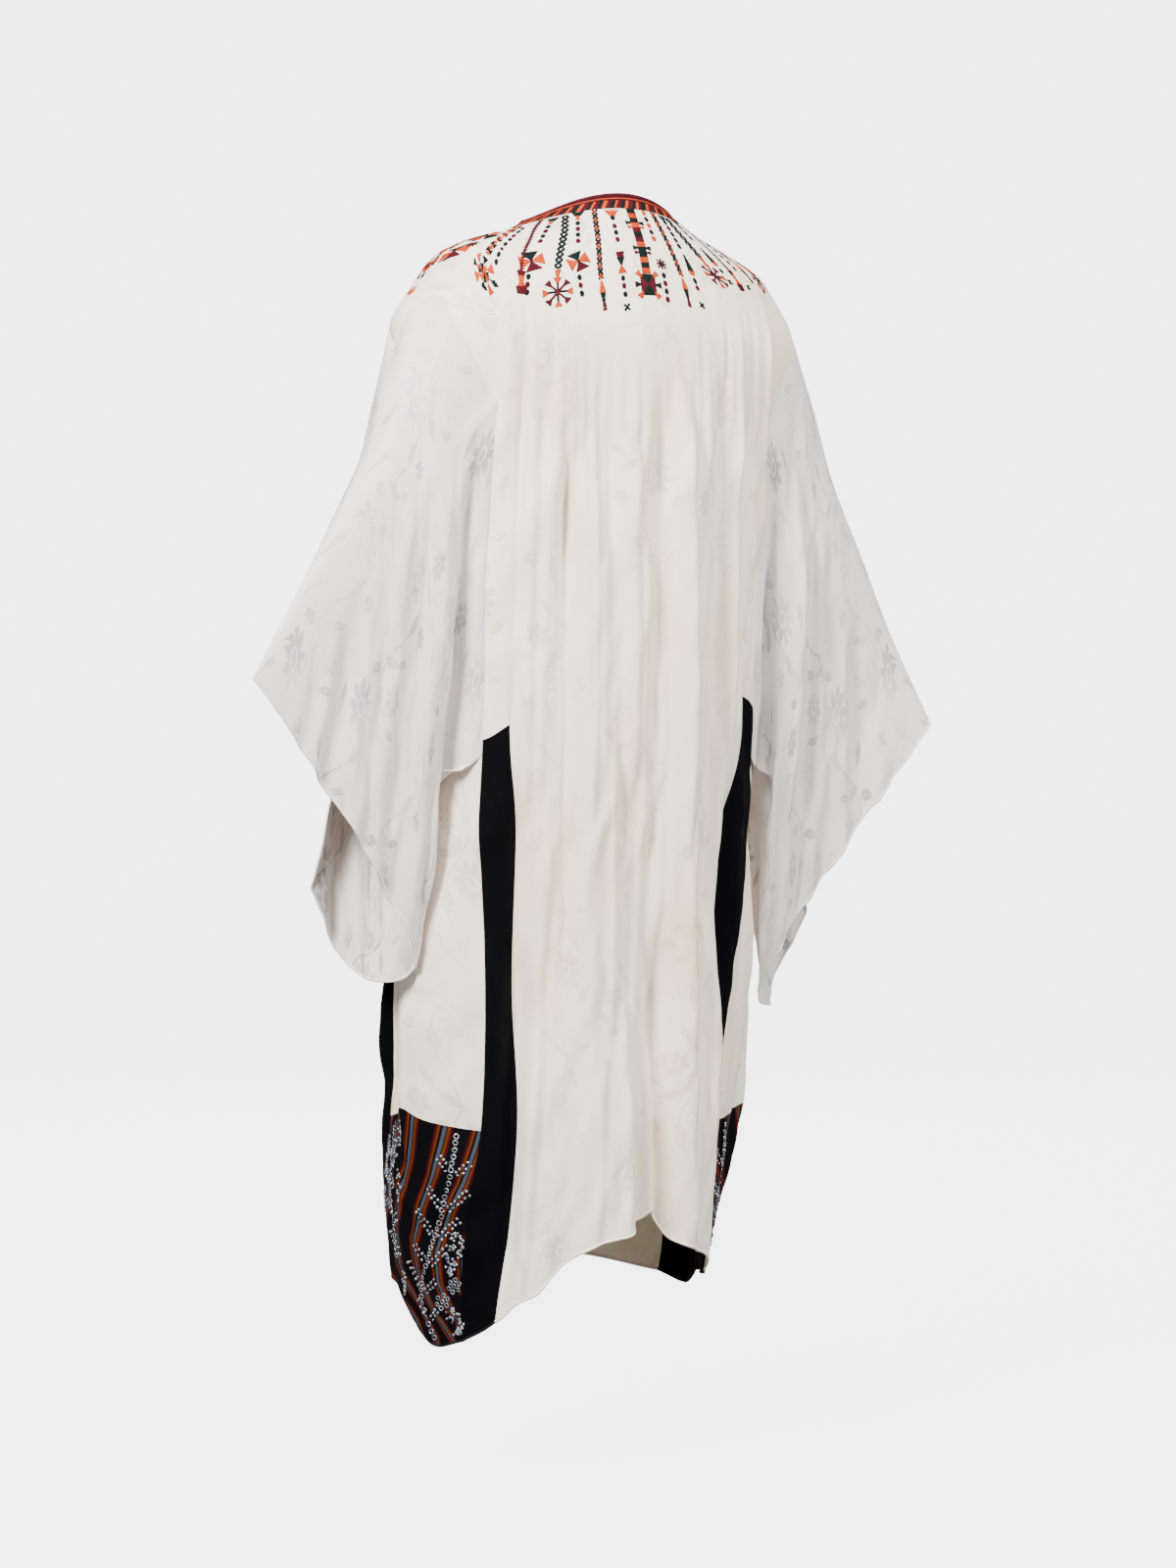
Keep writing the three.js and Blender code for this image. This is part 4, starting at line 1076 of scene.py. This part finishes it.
class Ray:
    """A line of embroidery. `along` is measured down it and `across` to its side, in millimetres."""

    def __init__(self, work, top_column, top_down, bottom_column, bottom_down, size, flip):
        self.work = work
        self.top = np.array([top_column, top_down], float)
        self.bottom = np.array([bottom_column, bottom_down], float)
        self.length = bottom_down - top_down
        self.size = size
        self.flip = flip

    def spot(self, across, along):
        column, down = mix(self.top, self.bottom, along / self.length)
        return column, down, across * self.flip

    def line(self, colour, across_a, along_a, across_b, along_b, width=3.0):
        pieces = max(1, round(math.hypot(across_b - across_a, along_b - along_a) / 7))
        for i in range(pieces):
            a, b = i / pieces, (i + 1) / pieces
            start = self.spot(mix(across_a, across_b, a), mix(along_a, along_b, a))
            end = self.spot(mix(across_a, across_b, b), mix(along_a, along_b, b))
            self.work.stitch(colour, start, end, width)

    def wedge(self, colour, across, along, turn, near, far, near_half, far_half):
        """A filled shape that widens or narrows outwards from a centre; turn 0 points down the ray."""
        cosine, sine = math.cos(math.radians(turn)), math.sin(math.radians(turn))
        rows = max(2, round((far - near) / STITCH_PITCH))
        for i in range(rows):
            share = (i + 0.5) / rows
            out, half = mix(near, far, share), max(mix(near_half, far_half, share), 0.5)
            a, d = across + out * sine, along + out * cosine
            start = self.spot(a - half * cosine, d + half * sine)
            self.work.stitch(colour, start, self.spot(a + half * cosine, d - half * sine))

    def dot(self, colour, along, across=0.0, half=3.3):
        self.wedge(colour, across, along, 0, -half, 0, half * 0.4, half * 0.85)
        self.wedge(colour, across, along, 0, 0, half, half * 0.85, half * 0.4)

    def dots(self, start, end, colours=("green", "maroon"), step=9.5):
        for i in range(max(1, int((end - start) / step))):
            self.dot(colours[i % len(colours)], start + i * step)

    def saltire(self, colour, along, half, across=0.0):
        self.line(colour, across - half, along - half, across + half, along + half)
        self.line(colour, across + half, along - half, across - half, along + half)

    def flower(self, along, radius, colours, petals=4, turn=45.0):
        for i in range(petals):
            spread = radius * math.tan(math.pi / petals) * 0.72
            self.wedge(colours[i % len(colours)], 0, along, turn + 360 / petals * i, 1, radius, 0.6, spread)
        self.dot("green", along, 0, 1.8)

    def star(self, middle):
        """Four stitches laid across one another."""
        for colour, across, along in (
            ("maroon", 5, 5), ("maroon", 5, -5), ("green", 6.5, 0), ("green", 0, 6.5),
        ):
            self.line(colour, -across, middle - along, across, middle + along, 2.6)

    def wheel(self, along, radius, spokes=8):
        self.dot("maroon", along, 0, 3.2)
        for i in range(spokes):
            turn = 360 / spokes * i
            cosine, sine = math.cos(math.radians(turn)), math.sin(math.radians(turn))
            near, far = 2.5, radius * 0.72
            spoke = ("green", "maroon")[i % 2]
            self.line(spoke, near * sine, along + near * cosine, far * sine, along + far * cosine)
            tip = ("orange", "maroon")[i % 2]
            self.wedge(tip, 0, along, turn, radius * 0.62, radius, 0.8, radius * 0.27)

    def fringe_triangle(self, along, half, height, colour):
        """Fine slanted lines that meet in a point, as they hang from the neck band."""
        for i in range(-3, 4):
            self.line(colour, i / 3 * half, along, i / 9 * half, along + height, 1.9)


def block_band(ray):
    half = 5.2 * ray.size
    order = ("green", "orange", "green", "orange", "maroon", "green", "maroon", "orange", "green")
    step, end = 6.6, ray.length
    for i in range(int(end / step)):
        ray.wedge(order[i % len(order)], 0, i * step, 0, 0, step, half, half)
    for along, colour in ((18, "orange"), (52, "maroon")):
        for turn in (90, -90):
            ray.wedge("green", 0, along + 2, turn, half, half + 6, 1, 3)
            ray.wedge(colour, 0, along + 8, turn, half, half + 5, 0.8, 2.4)
    centre, tall, wide = end + 11, 12.5, 9.5
    for turn, colour, far, half in (
        (0, "green", tall, wide), (90, "maroon", wide, tall),
        (180, "green", tall, wide), (270, "maroon", wide, tall),
    ):
        ray.wedge(colour, 0, centre, turn, 0.4, far, 0.5, half)
    for turn in (90, -90):
        ray.wedge("green", 0, centre, turn, wide, wide + 7, 1, 3.8)
        for lean in (-50, 50):
            ray.wedge("orange", 0, centre, turn + lean, wide + 2, wide + 10, 0.8, 4)


def cross_chain(ray):
    end = ray.length - 34
    for i in range(int(end / 6.5)):
        colour = ("orange", "green", "orange", "maroon")[i % 4]
        ray.saltire("green", i * 6.5 + 3.2, 3.0)
        ray.dot(colour, i * 6.5 + 3.2, 0, 2.6)
    ray.wedge("orange", 0, end, 0, 0, 14, 1.0, 4.0)
    ray.wedge("green", 0, end + 14, 0, 0, 10, 3.2, 1.8)
    ray.wedge("maroon", 0, end + 24, 0, 0, 10, 1.4, 2.6)


def tulip_line(ray):
    ray.fringe_triangle(0, 8, 9, "orange")
    ray.dot("green", 12, 0, 3.4)
    ray.dots(24, 58, ("maroon", "green"))
    ray.wedge("maroon", 0, 66, 0, -7, 0, 5.6, 3.6)
    ray.wedge("green", 0, 66, 0, 0, 10, 5.2, 0.8)
    ray.wedge("orange", 0, 77, 0, 0, 9, 1.0, 5.6)
    ray.dots(92, 122)
    ray.saltire("green", ray.length, 3.4)


def flower_line(ray):
    ray.fringe_triangle(0, 6.5, 8, "green")
    ray.wedge("orange", 0, 10, 0, -3, 4, 0.8, 3)
    middle = ray.length * 0.6
    ray.dots(20, middle - 16)
    radius = 13.5 * ray.size
    ray.flower(middle, radius, ("orange", "green", "orange", "maroon"), 4, 45 + 20 * ray.flip)
    ray.dots(middle + 21, ray.length + 3)


def wheel_line(ray):
    """A chain of lozenges that ends in a drop and a wheel of eight spokes."""
    step, half = 8.0, 3.9
    for i in range(int(ray.length / step) - 1):
        top = 2 + i * step
        for side in (-1, 1):
            ray.line("green", 0, top, side * half, top + step / 2, 3.4)
            ray.line("green", side * half, top + step / 2, 0, top + step, 3.4)
    ray.wedge("orange", 0, ray.length - 4, 0, -6, 4, 3.6, 1)
    ray.wheel(ray.length + 17 * ray.size, 17 * ray.size)


def comb_line(ray):
    ray.line("maroon", 0, 0, 0, ray.length, 3.2)
    for i in range(int(ray.length / 4)):
        colour = ("green", "maroon")[i * 4 > ray.length * 0.55]
        ray.line(colour, -3, i * 4 + 1.5, 3, i * 4 + 2.5, 1.6)
    end, size = ray.length, ray.size
    ray.wedge("maroon", 0, end, 0, -2, 4, 5 * size, 3.5 * size)
    ray.wedge("orange", 0, end, 0, 4, 12, 3.5 * size, 2.4 * size)
    ray.wedge("orange", 0, end, 0, 12, 17, 2.4 * size, 4.4 * size)
    ray.wedge("maroon", 0, end, 0, 17, 26, 6.4 * size, 5 * size)


def dots_and_cross(ray):
    ray.dots(0, ray.length - 10, ("green", "green", "maroon"), 10)
    ray.saltire("green", ray.length, 3)


def triangle_line(ray):
    ray.fringe_triangle(0, 5, 7, "green")
    middle = ray.length * 0.5
    ray.dots(10, middle - 6, ("green", "maroon"), 8.5)
    ray.wedge("green", 0, middle, 0, -4, 18, 0.8, 4.4)
    ray.wedge("orange", 0, middle + 18, 0, 0, 5, 4.4, 2.8)
    ray.dots(middle + 30, ray.length - 4, ("green", "maroon"), 8.5)
    ray.saltire("green", ray.length, 3)


def star_line(ray):
    ray.dots(2, ray.length * 0.5 - 8, ("orange", "green"), 9)
    middle = ray.length * 0.58
    ray.star(middle)
    ray.dots(ray.length * 0.58 + 14, ray.length + 4, ("green", "maroon"))


def wheel_column(ray):
    """Small four-petalled crosses one under another, over a wheel with petals all round."""
    for i in range(int((ray.length - 8) / 13)):
        ray.flower(8 + i * 13, 5.4, ("orange", "green"), 4, 0)
    centre, radius = ray.length + 18, 20 * ray.size
    ray.flower(centre, radius * 0.5, ("orange", "green"), 8, 22.5)
    for i in range(8):
        colour = ("green", "orange")[i % 2]
        ray.wedge(colour, 0, centre, 45 * i, radius * 0.55, radius, 0.8, radius * 0.26)


def small_star(ray):
    ray.star(2)


def bow_line(ray):
    ray.flower(14, 14 * ray.size, ("orange", "green"), 4, 20)
    ray.dots(30, 44, ("maroon",))
    ray.flower(58, 15 * ray.size, ("orange", "green", "orange", "maroon"), 4, 70)


def drop_line(ray):
    for i in range(3):
        ray.flower(8 + i * 30, 8, ("orange", "maroon"), 4, 0)
        ray.wedge("green", 0, 21 + i * 30, 0, -4, 5, 0.8, 3.2)
    ray.wedge("orange", 0, 96, 0, 0, 12, 0.9, 4.4)


RAY_KINDS = {
    kind.__name__: kind
    for kind in (
        block_band, tulip_line, cross_chain, flower_line, wheel_line, comb_line, dots_and_cross,
        triangle_line, star_line, wheel_column, small_star, bow_line, drop_line,
    )
}

# The neck band's blocks: (colour, width round the neck), and the slant from top to bottom.
BAND_BLOCKS = (
    ("orange", 4.2), ("green", 6.0), ("maroon", 4.4), ("orange", 3.0), ("green", 5.2), ("maroon", 5.4),
)
BAND_BLOCK_TOP, BAND_BLOCK_BOTTOM, BAND_SLANT = 9.0, 20.5, 4.5


def embroider_band(work):
    """Slanted blocks of thread all round the neck band, under its cord."""
    repeat = sum(width for _, width in BAND_BLOCKS)
    edges = np.cumsum([width for _, width in BAND_BLOCKS])
    round_run = work.cloth.across[BAND_STARTS["yoke"]]
    for at in np.arange(0, round_run[-1], STITCH_PITCH):
        colour = BAND_BLOCKS[int(np.searchsorted(edges, at % repeat, side="right"))][0]
        column = float(np.interp(at, round_run, work.cloth.numbers))
        top, bottom = (column, BAND_BLOCK_TOP, -BAND_SLANT / 2), (column, BAND_BLOCK_BOTTOM, BAND_SLANT / 2)
        work.stitch(colour, top, bottom)


# ---------------------------------------------------------------- sequins

# On a hem panel, "side" is measured round from the panel's back seam and "down" from its top seam.
CHAINS = (
    ((27, 9), (27, 60), (31, 100), (42, 140), (53, 175), (54, 200), (44, 226), (34, 246)),
    ((137, 14), (134, 70), (126, 120), (118, 160), (112, 200)),
)
CHAIN_STEP = 7.5
# Branches leave a chain upwards on both sides: (chain, distance down the chain, reach to each side).
BRANCHES = (
    (0, 44, 26, 24), (0, 84, 34, 32), (0, 118, 34, 34), (0, 150, 34, 26), (0, 182, 24, 30),
    (0, 212, 20, 20), (1, 50, 24, 26), (1, 92, 26, 28), (1, 134, 24, 24), (1, 172, 18, 20),
)
# Sprays of small sequins: (side, down, length, width, turn in degrees).
SPRAYS = (
    (106, 12, 62, 15, 4), (98, 70, 40, 9, -6), (9, 118, 52, 24, 6), (14, 204, 34, 20, -20),
    (2, 222, 30, 16, 10), (152, 30, 50, 14, -4), (150, 110, 54, 16, 4), (86, 188, 40, 14, 18),
)
# Close flowers of ring sequins: (side, down).
RING_FLOWERS = ((9, 180), (146, 86), (24, 196))
# Rings in a chain and in a flower, and cups on a branch, in the row beside it and in a spray.
CHAIN_RING, FLOWER_RING = 7.3, 6.4
BRANCH_CUP, BESIDE_CUP, SPRAY_CUP = 4.8, 4.5, 4.2
# A cup to each step along a branch, its second row's distance, and a cup to each area of a spray.
CUP_STEP, ROW_GAP, CUP_AREA = 5.6, 6, 19
FLOWER_PETALS, FLOWER_REACH = 6, 7


def chain_point(chain, run):
    """The spot a distance down a chain, and the chain's whole length."""
    points = np.array(CHAINS[chain], float)
    steps = np.linalg.norm(np.diff(points, axis=0), axis=1)
    runs = np.concatenate([[0], np.cumsum(steps)])
    return np.array([np.interp(run, runs, points[:, k]) for k in (0, 1)]), runs[-1]


def sequin_spots(rng):
    """Where the ring sequins and the small cups lie on a hem panel, as (side, down, size)."""
    rings, cups = [], []
    for chain in range(len(CHAINS)):
        total = chain_point(chain, 0)[1]
        for i in range(int(total / CHAIN_STEP)):
            spot = chain_point(chain, i * CHAIN_STEP)[0]
            rings.append((*(spot + rng.uniform(-0.4, 0.4, 2)), CHAIN_RING))
    for chain, run, *reaches in BRANCHES:
        start = chain_point(chain, run)[0]
        for side, reach in zip((-1, 1), reaches):
            out = unit(np.array([side * 0.8, -0.75]))
            beside = np.array([out[1], -out[0]])
            for i in range(1, int(reach / CUP_STEP) + 1):
                spot = start + out * (2 + i * CUP_STEP)
                cups.append((*(spot + rng.uniform(-0.7, 0.7, 2)), BRANCH_CUP))
                cups.append((*(spot + beside * ROW_GAP + rng.uniform(-1, 1, 2)), BESIDE_CUP))
    for side, down, length, width, turn in SPRAYS:
        cosine, sine = math.cos(math.radians(turn)), math.sin(math.radians(turn))
        for _ in range(int(length * width / CUP_AREA)):
            a, b = rng.uniform(0, 1), rng.uniform(-1, 1)
            half = width / 2 * (1 - abs(2 * a - 0.8) ** 2 * 0.7)
            cups.append((side + b * half * cosine + a * length * sine, down + a * length, SPRAY_CUP))
    for side, down in RING_FLOWERS:
        rings.append((side, down, FLOWER_RING))
        for i in range(FLOWER_PETALS):
            angle = math.pi / 3 * i + 0.3
            petal = side + FLOWER_REACH * math.cos(angle), down + FLOWER_REACH * math.sin(angle)
            rings.append((*petal, FLOWER_RING))
    return rings, cups


# ---------------------------------------------------------------- hems, rolls and running stitches


def roll_along(name, paths, finish, width, height, sides=8):
    """Rolled edges in one mesh: each path is (points, normals, is_closed), in millimetres."""
    vertices, faces = [], []
    turn = np.arange(sides) / sides * 2 * math.pi
    for points, normals, is_closed in paths:
        ahead = np.roll(points, -1, axis=0) - np.roll(points, 1, axis=0)
        if not is_closed:
            ahead[0], ahead[-1] = points[1] - points[0], points[-1] - points[-2]
        ahead = unit(ahead)
        side = unit(np.cross(normals, ahead))
        up = np.cross(ahead, side)
        first, count = len(vertices), len(points)
        for p, s, n in zip(points, side, up):
            for t in turn:
                vertices.append(p + s * math.cos(t) * width / 2 + n * math.sin(t) * height / 2)
        for i in range(count if is_closed else count - 1):
            j = (i + 1) % count
            for k in range(sides):
                m = (k + 1) % sides
                here, there = first + i * sides, first + j * sides
                faces.append([here + k, here + m, there + m, there + k])
        if not is_closed:
            faces.append([first + k for k in range(sides)][::-1])
            faces.append([first + (count - 1) * sides + k for k in range(sides)])
    mesh = bpy.data.meshes.new(name)
    mesh.from_pydata((np.array(vertices) * MM).tolist(), [], faces)
    mesh.polygons.foreach_set("use_smooth", [True] * len(mesh.polygons))
    mesh.materials.append(finish)
    piece = bpy.data.objects.new(name, mesh)
    bpy.context.scene.collection.objects.link(piece)
    tidy = bmesh.new()
    tidy.from_mesh(mesh)
    bmesh.ops.recalc_face_normals(tidy, faces=tidy.faces)
    tidy.to_mesh(mesh)
    tidy.free()
    return piece


RUNNING_STITCH, RUNNING_STEP = 2.4, 4.4


def running_stitches(points, normals):
    """Places, directions and normals of the stitches of a seam that runs through `points`."""
    steps = np.linalg.norm(np.diff(points, axis=0), axis=1)
    run = np.concatenate([[0], np.cumsum(steps)])
    at = np.arange(RUNNING_STEP / 2, run[-1], RUNNING_STEP)
    places = np.stack([np.interp(at, run, points[:, k]) for k in range(3)], axis=1)
    ahead = np.stack([np.interp(at + 1, run, points[:, k]) for k in range(3)], axis=1) - places
    ups = unit(np.stack([np.interp(at, run, normals[:, k]) for k in range(3)], axis=1))
    return places, ahead, ups


# ---------------------------------------------------------------- making the dress

set_camera()
set_lights()
make_stage()

# In both jacquards the figure colour is painted sheen, and the warm colour is partly painted warm shade.
IVORY = silk_jacquard(
    "warm ivory silk jacquard", linear(240, 225, 209), linear(202, 184, 162), linear(228, 202, 162), 0.55)
# The sleeves' cloth: a little cooler than the body's, and greyer still as painted shade for sleeves that
# turn away from the light.
COOL_AND_SHADED = silk_jacquard(
    "cool white silk jacquard", linear(217, 209, 205), linear(142, 138, 142), linear(214, 200, 184), 0.8)
CREPE = black_crepe()
STRIPED = striped_cloth()
BAND = band_ground()
THREADS = {name: silk_thread(name + " silk thread", *pair) for name, pair in THREAD_COLOURS.items()}
CREAM_THREAD = silk_thread("cream sewing thread", linear(226, 218, 204), linear(244, 238, 228), 0.6)
BLACK_THREAD = silk_thread("black sewing thread", linear(8, 7, 12), linear(24, 22, 30), 0.6)
SEQUIN = sequin_finish()

body = make_body()
sleeves = {side: make_sleeve(body, side) for side in ("left", "right")}
for sleeve in sleeves.values():
    join_normals(body, sleeve)

MIDDLE_PLACES = PLACES + (np.append(PLACES[1:], CENTRE_FRONT) - PLACES) / 2
ROWS = np.arange(body.points.shape[0] - 1)[:, None]
ROUND = np.abs(MIDDLE_PLACES)[None, :]


def in_band(first, last):
    """The rows of the grid from one band to another, both counted in."""
    names = [*CELL_ROWS, "end"]
    return (ROWS >= BAND_STARTS[first]) & (ROWS < BAND_STARTS[names[names.index(last) + 1]])


def on_side(side):
    return (MIDDLE_PLACES > 0 if side == "left" else MIDDLE_PLACES < 0)[None, :]


def body_cells():
    """Which cells of the body grid each piece is cut from."""
    back, front = ROUND < SIDE_SEAM, ROUND > FRONT_SIDE_SEAM
    strip = (ROUND > PANEL_SEAM) & (ROUND < FRONT_PANEL_SEAM) & in_band("notch", "hem")
    flank = (ROUND > SIDE_SEAM) & (ROUND < FRONT_SIDE_SEAM)
    skirt = in_band("upper", "hem")
    cells = {
        "neck_band": in_band("neck", "neck") & (ROUND >= 0),
        "yoke_back": in_band("yoke", "yoke") & (ROUND < SIDE_MIDDLE),
        "yoke_front": in_band("yoke", "yoke") & (ROUND > SIDE_MIDDLE),
        "back_panel": skirt & back & ~strip,
        "front_panel": skirt & front & ~strip,
    }
    for side in ("left", "right"):
        cells[f"strip_back_{side}"] = strip & back & on_side(side)
        cells[f"strip_front_{side}"] = strip & front & on_side(side)
        cells[f"side_panel_{side}"] = flank & in_band("lower", "lower") & on_side(side)
        cells[f"hem_panel_{side}"] = flank & in_band("hem", "hem") & on_side(side)
    return cells


FINISHES = {
    "neck_band": (BAND, "neck_trim"),
    "strip": (CREPE, "black_crepe"),
    "hem_panel": (STRIPED, "striped_cloth"),
}

# How far the stripes swing round, and back, on their way down a hem panel: (down, shift).
STRIPE_SWING = ((0, -9), (60, 1), (100, 15), (150, 30), (185, 27), (215, 6), (250, -34))


def column_at(place):
    """The column, with a fraction, of a place round the body."""
    return float(np.interp(place, np.append(PLACES, CENTRE_FRONT), body.numbers))


def own_piece(piece, slot):
    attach(piece, "root")
    return piece


# A pattern keeps its true size across the hips, and runs straight up and down from there.
HIPS = body.across[BAND_STARTS["lower"], :-1]
ACROSS = np.broadcast_to(HIPS, body.points.shape[:2])
PANEL_RUN = body.down - body.down[BAND_STARTS["hem"]]
SWING = np.interp(PANEL_RUN, *np.array(STRIPE_SWING, float).T)


def stripes_across(side):
    """Millimetres round from a hem panel's back seam, swung with the stripes."""
    row = body.across[BAND_STARTS["hem"]]
    seam = np.interp(column_at(SIDE_SEAM if side == "left" else -SIDE_SEAM), body.numbers, row)
    round_run = (row[:-1] - seam) * (1 if side == "left" else -1)
    return round_run[None, :] - SWING


for name, cells in body_cells().items():
    kind = next((k for k in FINISHES if name.startswith(k)), None)
    finish, slot = FINISHES.get(kind, (IVORY, "ivory_jacquard"))
    across = stripes_across(name.split("_")[-1]) if kind == "hem_panel" else ACROSS
    own_piece(cut_piece(name + "_cloth", body, cells, finish, across, body.down), slot)
    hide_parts(name)

for side, sleeve in sleeves.items():
    cells = np.ones((sleeve.points.shape[0] - 1, sleeve.points.shape[1]), bool)
    name = f"sleeve_{side}"
    across = np.broadcast_to(np.mean(sleeve.across[40:, :-1], axis=0), sleeve.points.shape[:2])
    shell = cut_piece(name + "_cloth", sleeve, cells, COOL_AND_SHADED, across, sleeve.down)
    own_piece(shell, "cool_jacquard")
    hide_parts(name)

# ---- rolled edges ----


def body_run(row, first_place, last_place):
    """A stretch of a body row between two places, which may pass centre front."""
    start, end = (int(round(column_at(p))) for p in (first_place, last_place))
    columns = np.arange(start, end + 1 if end > start else end + 1 + len(PLACES)) % len(PLACES)
    return body.points[row, columns], body.normals[row, columns]


HEM_ROW = BAND_STARTS["end"]
HALF_WALL = CLOTH_THICKNESS / 2


def edge_path(points, normals, is_closed=False):
    return points - normals * HALF_WALL, normals, is_closed


thread_tree = copies_tree("lay stitches", thread_shape)
ring_tree = copies_tree("lay ring sequins", ring_sequin_shape)
cup_tree = copies_tree("lay cup sequins", cup_sequin_shape)

own_piece(roll_along(
    "hem_roll_back", [edge_path(*body_run(HEM_ROW, -1, 1))], IVORY, 3.4, 2.4), "ivory_jacquard")
own_piece(roll_along(
    "hem_roll_front", [edge_path(*body_run(HEM_ROW, 5, -5))], IVORY, 3.4, 2.4), "ivory_jacquard")
for side, ends in (("left", (1, 5)), ("right", (-5, -1))):
    own_piece(roll_along(
        f"hem_roll_{side}", [edge_path(*body_run(HEM_ROW, *ends))], BLACK_THREAD, 3.0, 2.2), "black_crepe")
    sleeve = sleeves[side]
    own_piece(roll_along(
        f"cuff_roll_{side}", [edge_path(sleeve.points[-1], sleeve.normals[-1], True)], COOL_AND_SHADED, 3.4, 2.4),
        "cool_jacquard")
own_piece(roll_along(
    "neck_roll", [edge_path(body.points[0], body.normals[0], True)],
    THREADS["maroon"], 5.0, 4.4), "neck_trim")
own_piece(roll_along(
    "neck_cord", [(mix(body.points[1], body.points[2], 0.9), body.normals[2], True)],
    THREADS["orange"], 1.7, 1.3), "neck_trim")

# ---- embroidery ----

rays = Needlework(body, BAND_STARTS["yoke"])
for is_front in (False, True):
    for kind, top, top_down, bottom, bottom_down, size in RAYS:
        places = [math.copysign(CENTRE_FRONT - abs(p), p) if is_front else p for p in (top, bottom)]
        flip = -1 if is_front else 1
        columns = [column_at(p) for p in places]
        RAY_KINDS[kind](Ray(rays, columns[0], top_down, columns[1], bottom_down, size, flip))
band = Needlework(body, 0)
embroider_band(band)

for colour, finish in THREADS.items():
    ends = np.array(rays.ends[colour] + band.ends[colour])
    widths = np.array(rays.widths[colour] + band.widths[colour])
    starts, stops = (body.read(body.points, e[:, 0], e[:, 1]) for e in (ends[:, 0], ends[:, 1]))
    normals = unit(body.read(body.normals, ends[:, 0, 0], ends[:, 0, 1]))
    along = stops - starts
    lengths = np.linalg.norm(along, axis=1) + 0.4
    places = (starts + stops) / 2 + normals * 0.2
    sizes = np.stack([lengths, widths, np.full_like(widths, THREAD_HEIGHT)], axis=1)
    name = f"embroidery_{colour}"
    laid = lay_copies(name, thread_tree, finish, places, along, normals, sizes)
    own_piece(laid, "neck_trim")

# ---- sequins ----

rng = np.random.default_rng(20)
for kind, tree in (("ring", ring_tree), ("cup", cup_tree)):
    for side, sign in (("left", 1), ("right", -1)):
        rings, cups = sequin_spots(np.random.default_rng(7 if side == "left" else 8))
        spots = rings if kind == "ring" else cups
        seam = column_at(sign * SIDE_SEAM)
        top_row = BAND_STARTS["hem"]
        found = np.array([body.find(seam, top_row, down, sign * across) for across, down, _ in spots])
        inside = found[:, 0] < HEM_ROW - 1.2
        normals = unit(body.read(body.normals, found[:, 0], found[:, 1]))
        places = body.read(body.points, found[:, 0], found[:, 1]) + normals * 0.7
        tilt = rng.normal(0, 0.16 if kind == "ring" else 0.3, normals.shape)
        leaning = unit(normals + tilt)
        along = np.cross(leaning, rng.normal(0, 1, normals.shape))
        size = np.array([spot[2] for spot in spots])
        depth = size * (0.45 if kind == "ring" else 0.22)
        sizes = np.stack([size, size, depth], axis=1)
        name = f"{kind}_sequins_{side}"
        chosen = (a[inside] for a in (places, along, leaning, sizes))
        own_piece(lay_copies(name, tree, SEQUIN, *chosen), "striped_cloth")

# ---- seam and hem stitches ----

cream_runs = [
    body_run(HEM_ROW - 3, -1, 1), body_run(HEM_ROW - 3, 5, -5),
    body_run(BAND_STARTS["upper"] - 1, -2, 2), body_run(BAND_STARTS["upper"] - 1, 4, -4),
]
cream_runs += [(sleeve.points[-4], sleeve.normals[-4]) for sleeve in sleeves.values()]
black_runs = [body_run(HEM_ROW - 3, 1, 5), body_run(HEM_ROW - 3, -5, -1)]
for name, runs, finish, slot in (
    ("stitches_cream", cream_runs, CREAM_THREAD, "ivory_jacquard"),
    ("stitches_black", black_runs, BLACK_THREAD, "black_crepe"),
):
    places, along, normals = (np.concatenate(parts) for parts in zip(*(running_stitches(*r) for r in runs)))
    sizes = np.tile((RUNNING_STITCH, 0.6, 0.45), (len(places), 1))
    own_piece(lay_copies(
        name, thread_tree, finish, places + normals * 0.1, along, normals, sizes), slot)
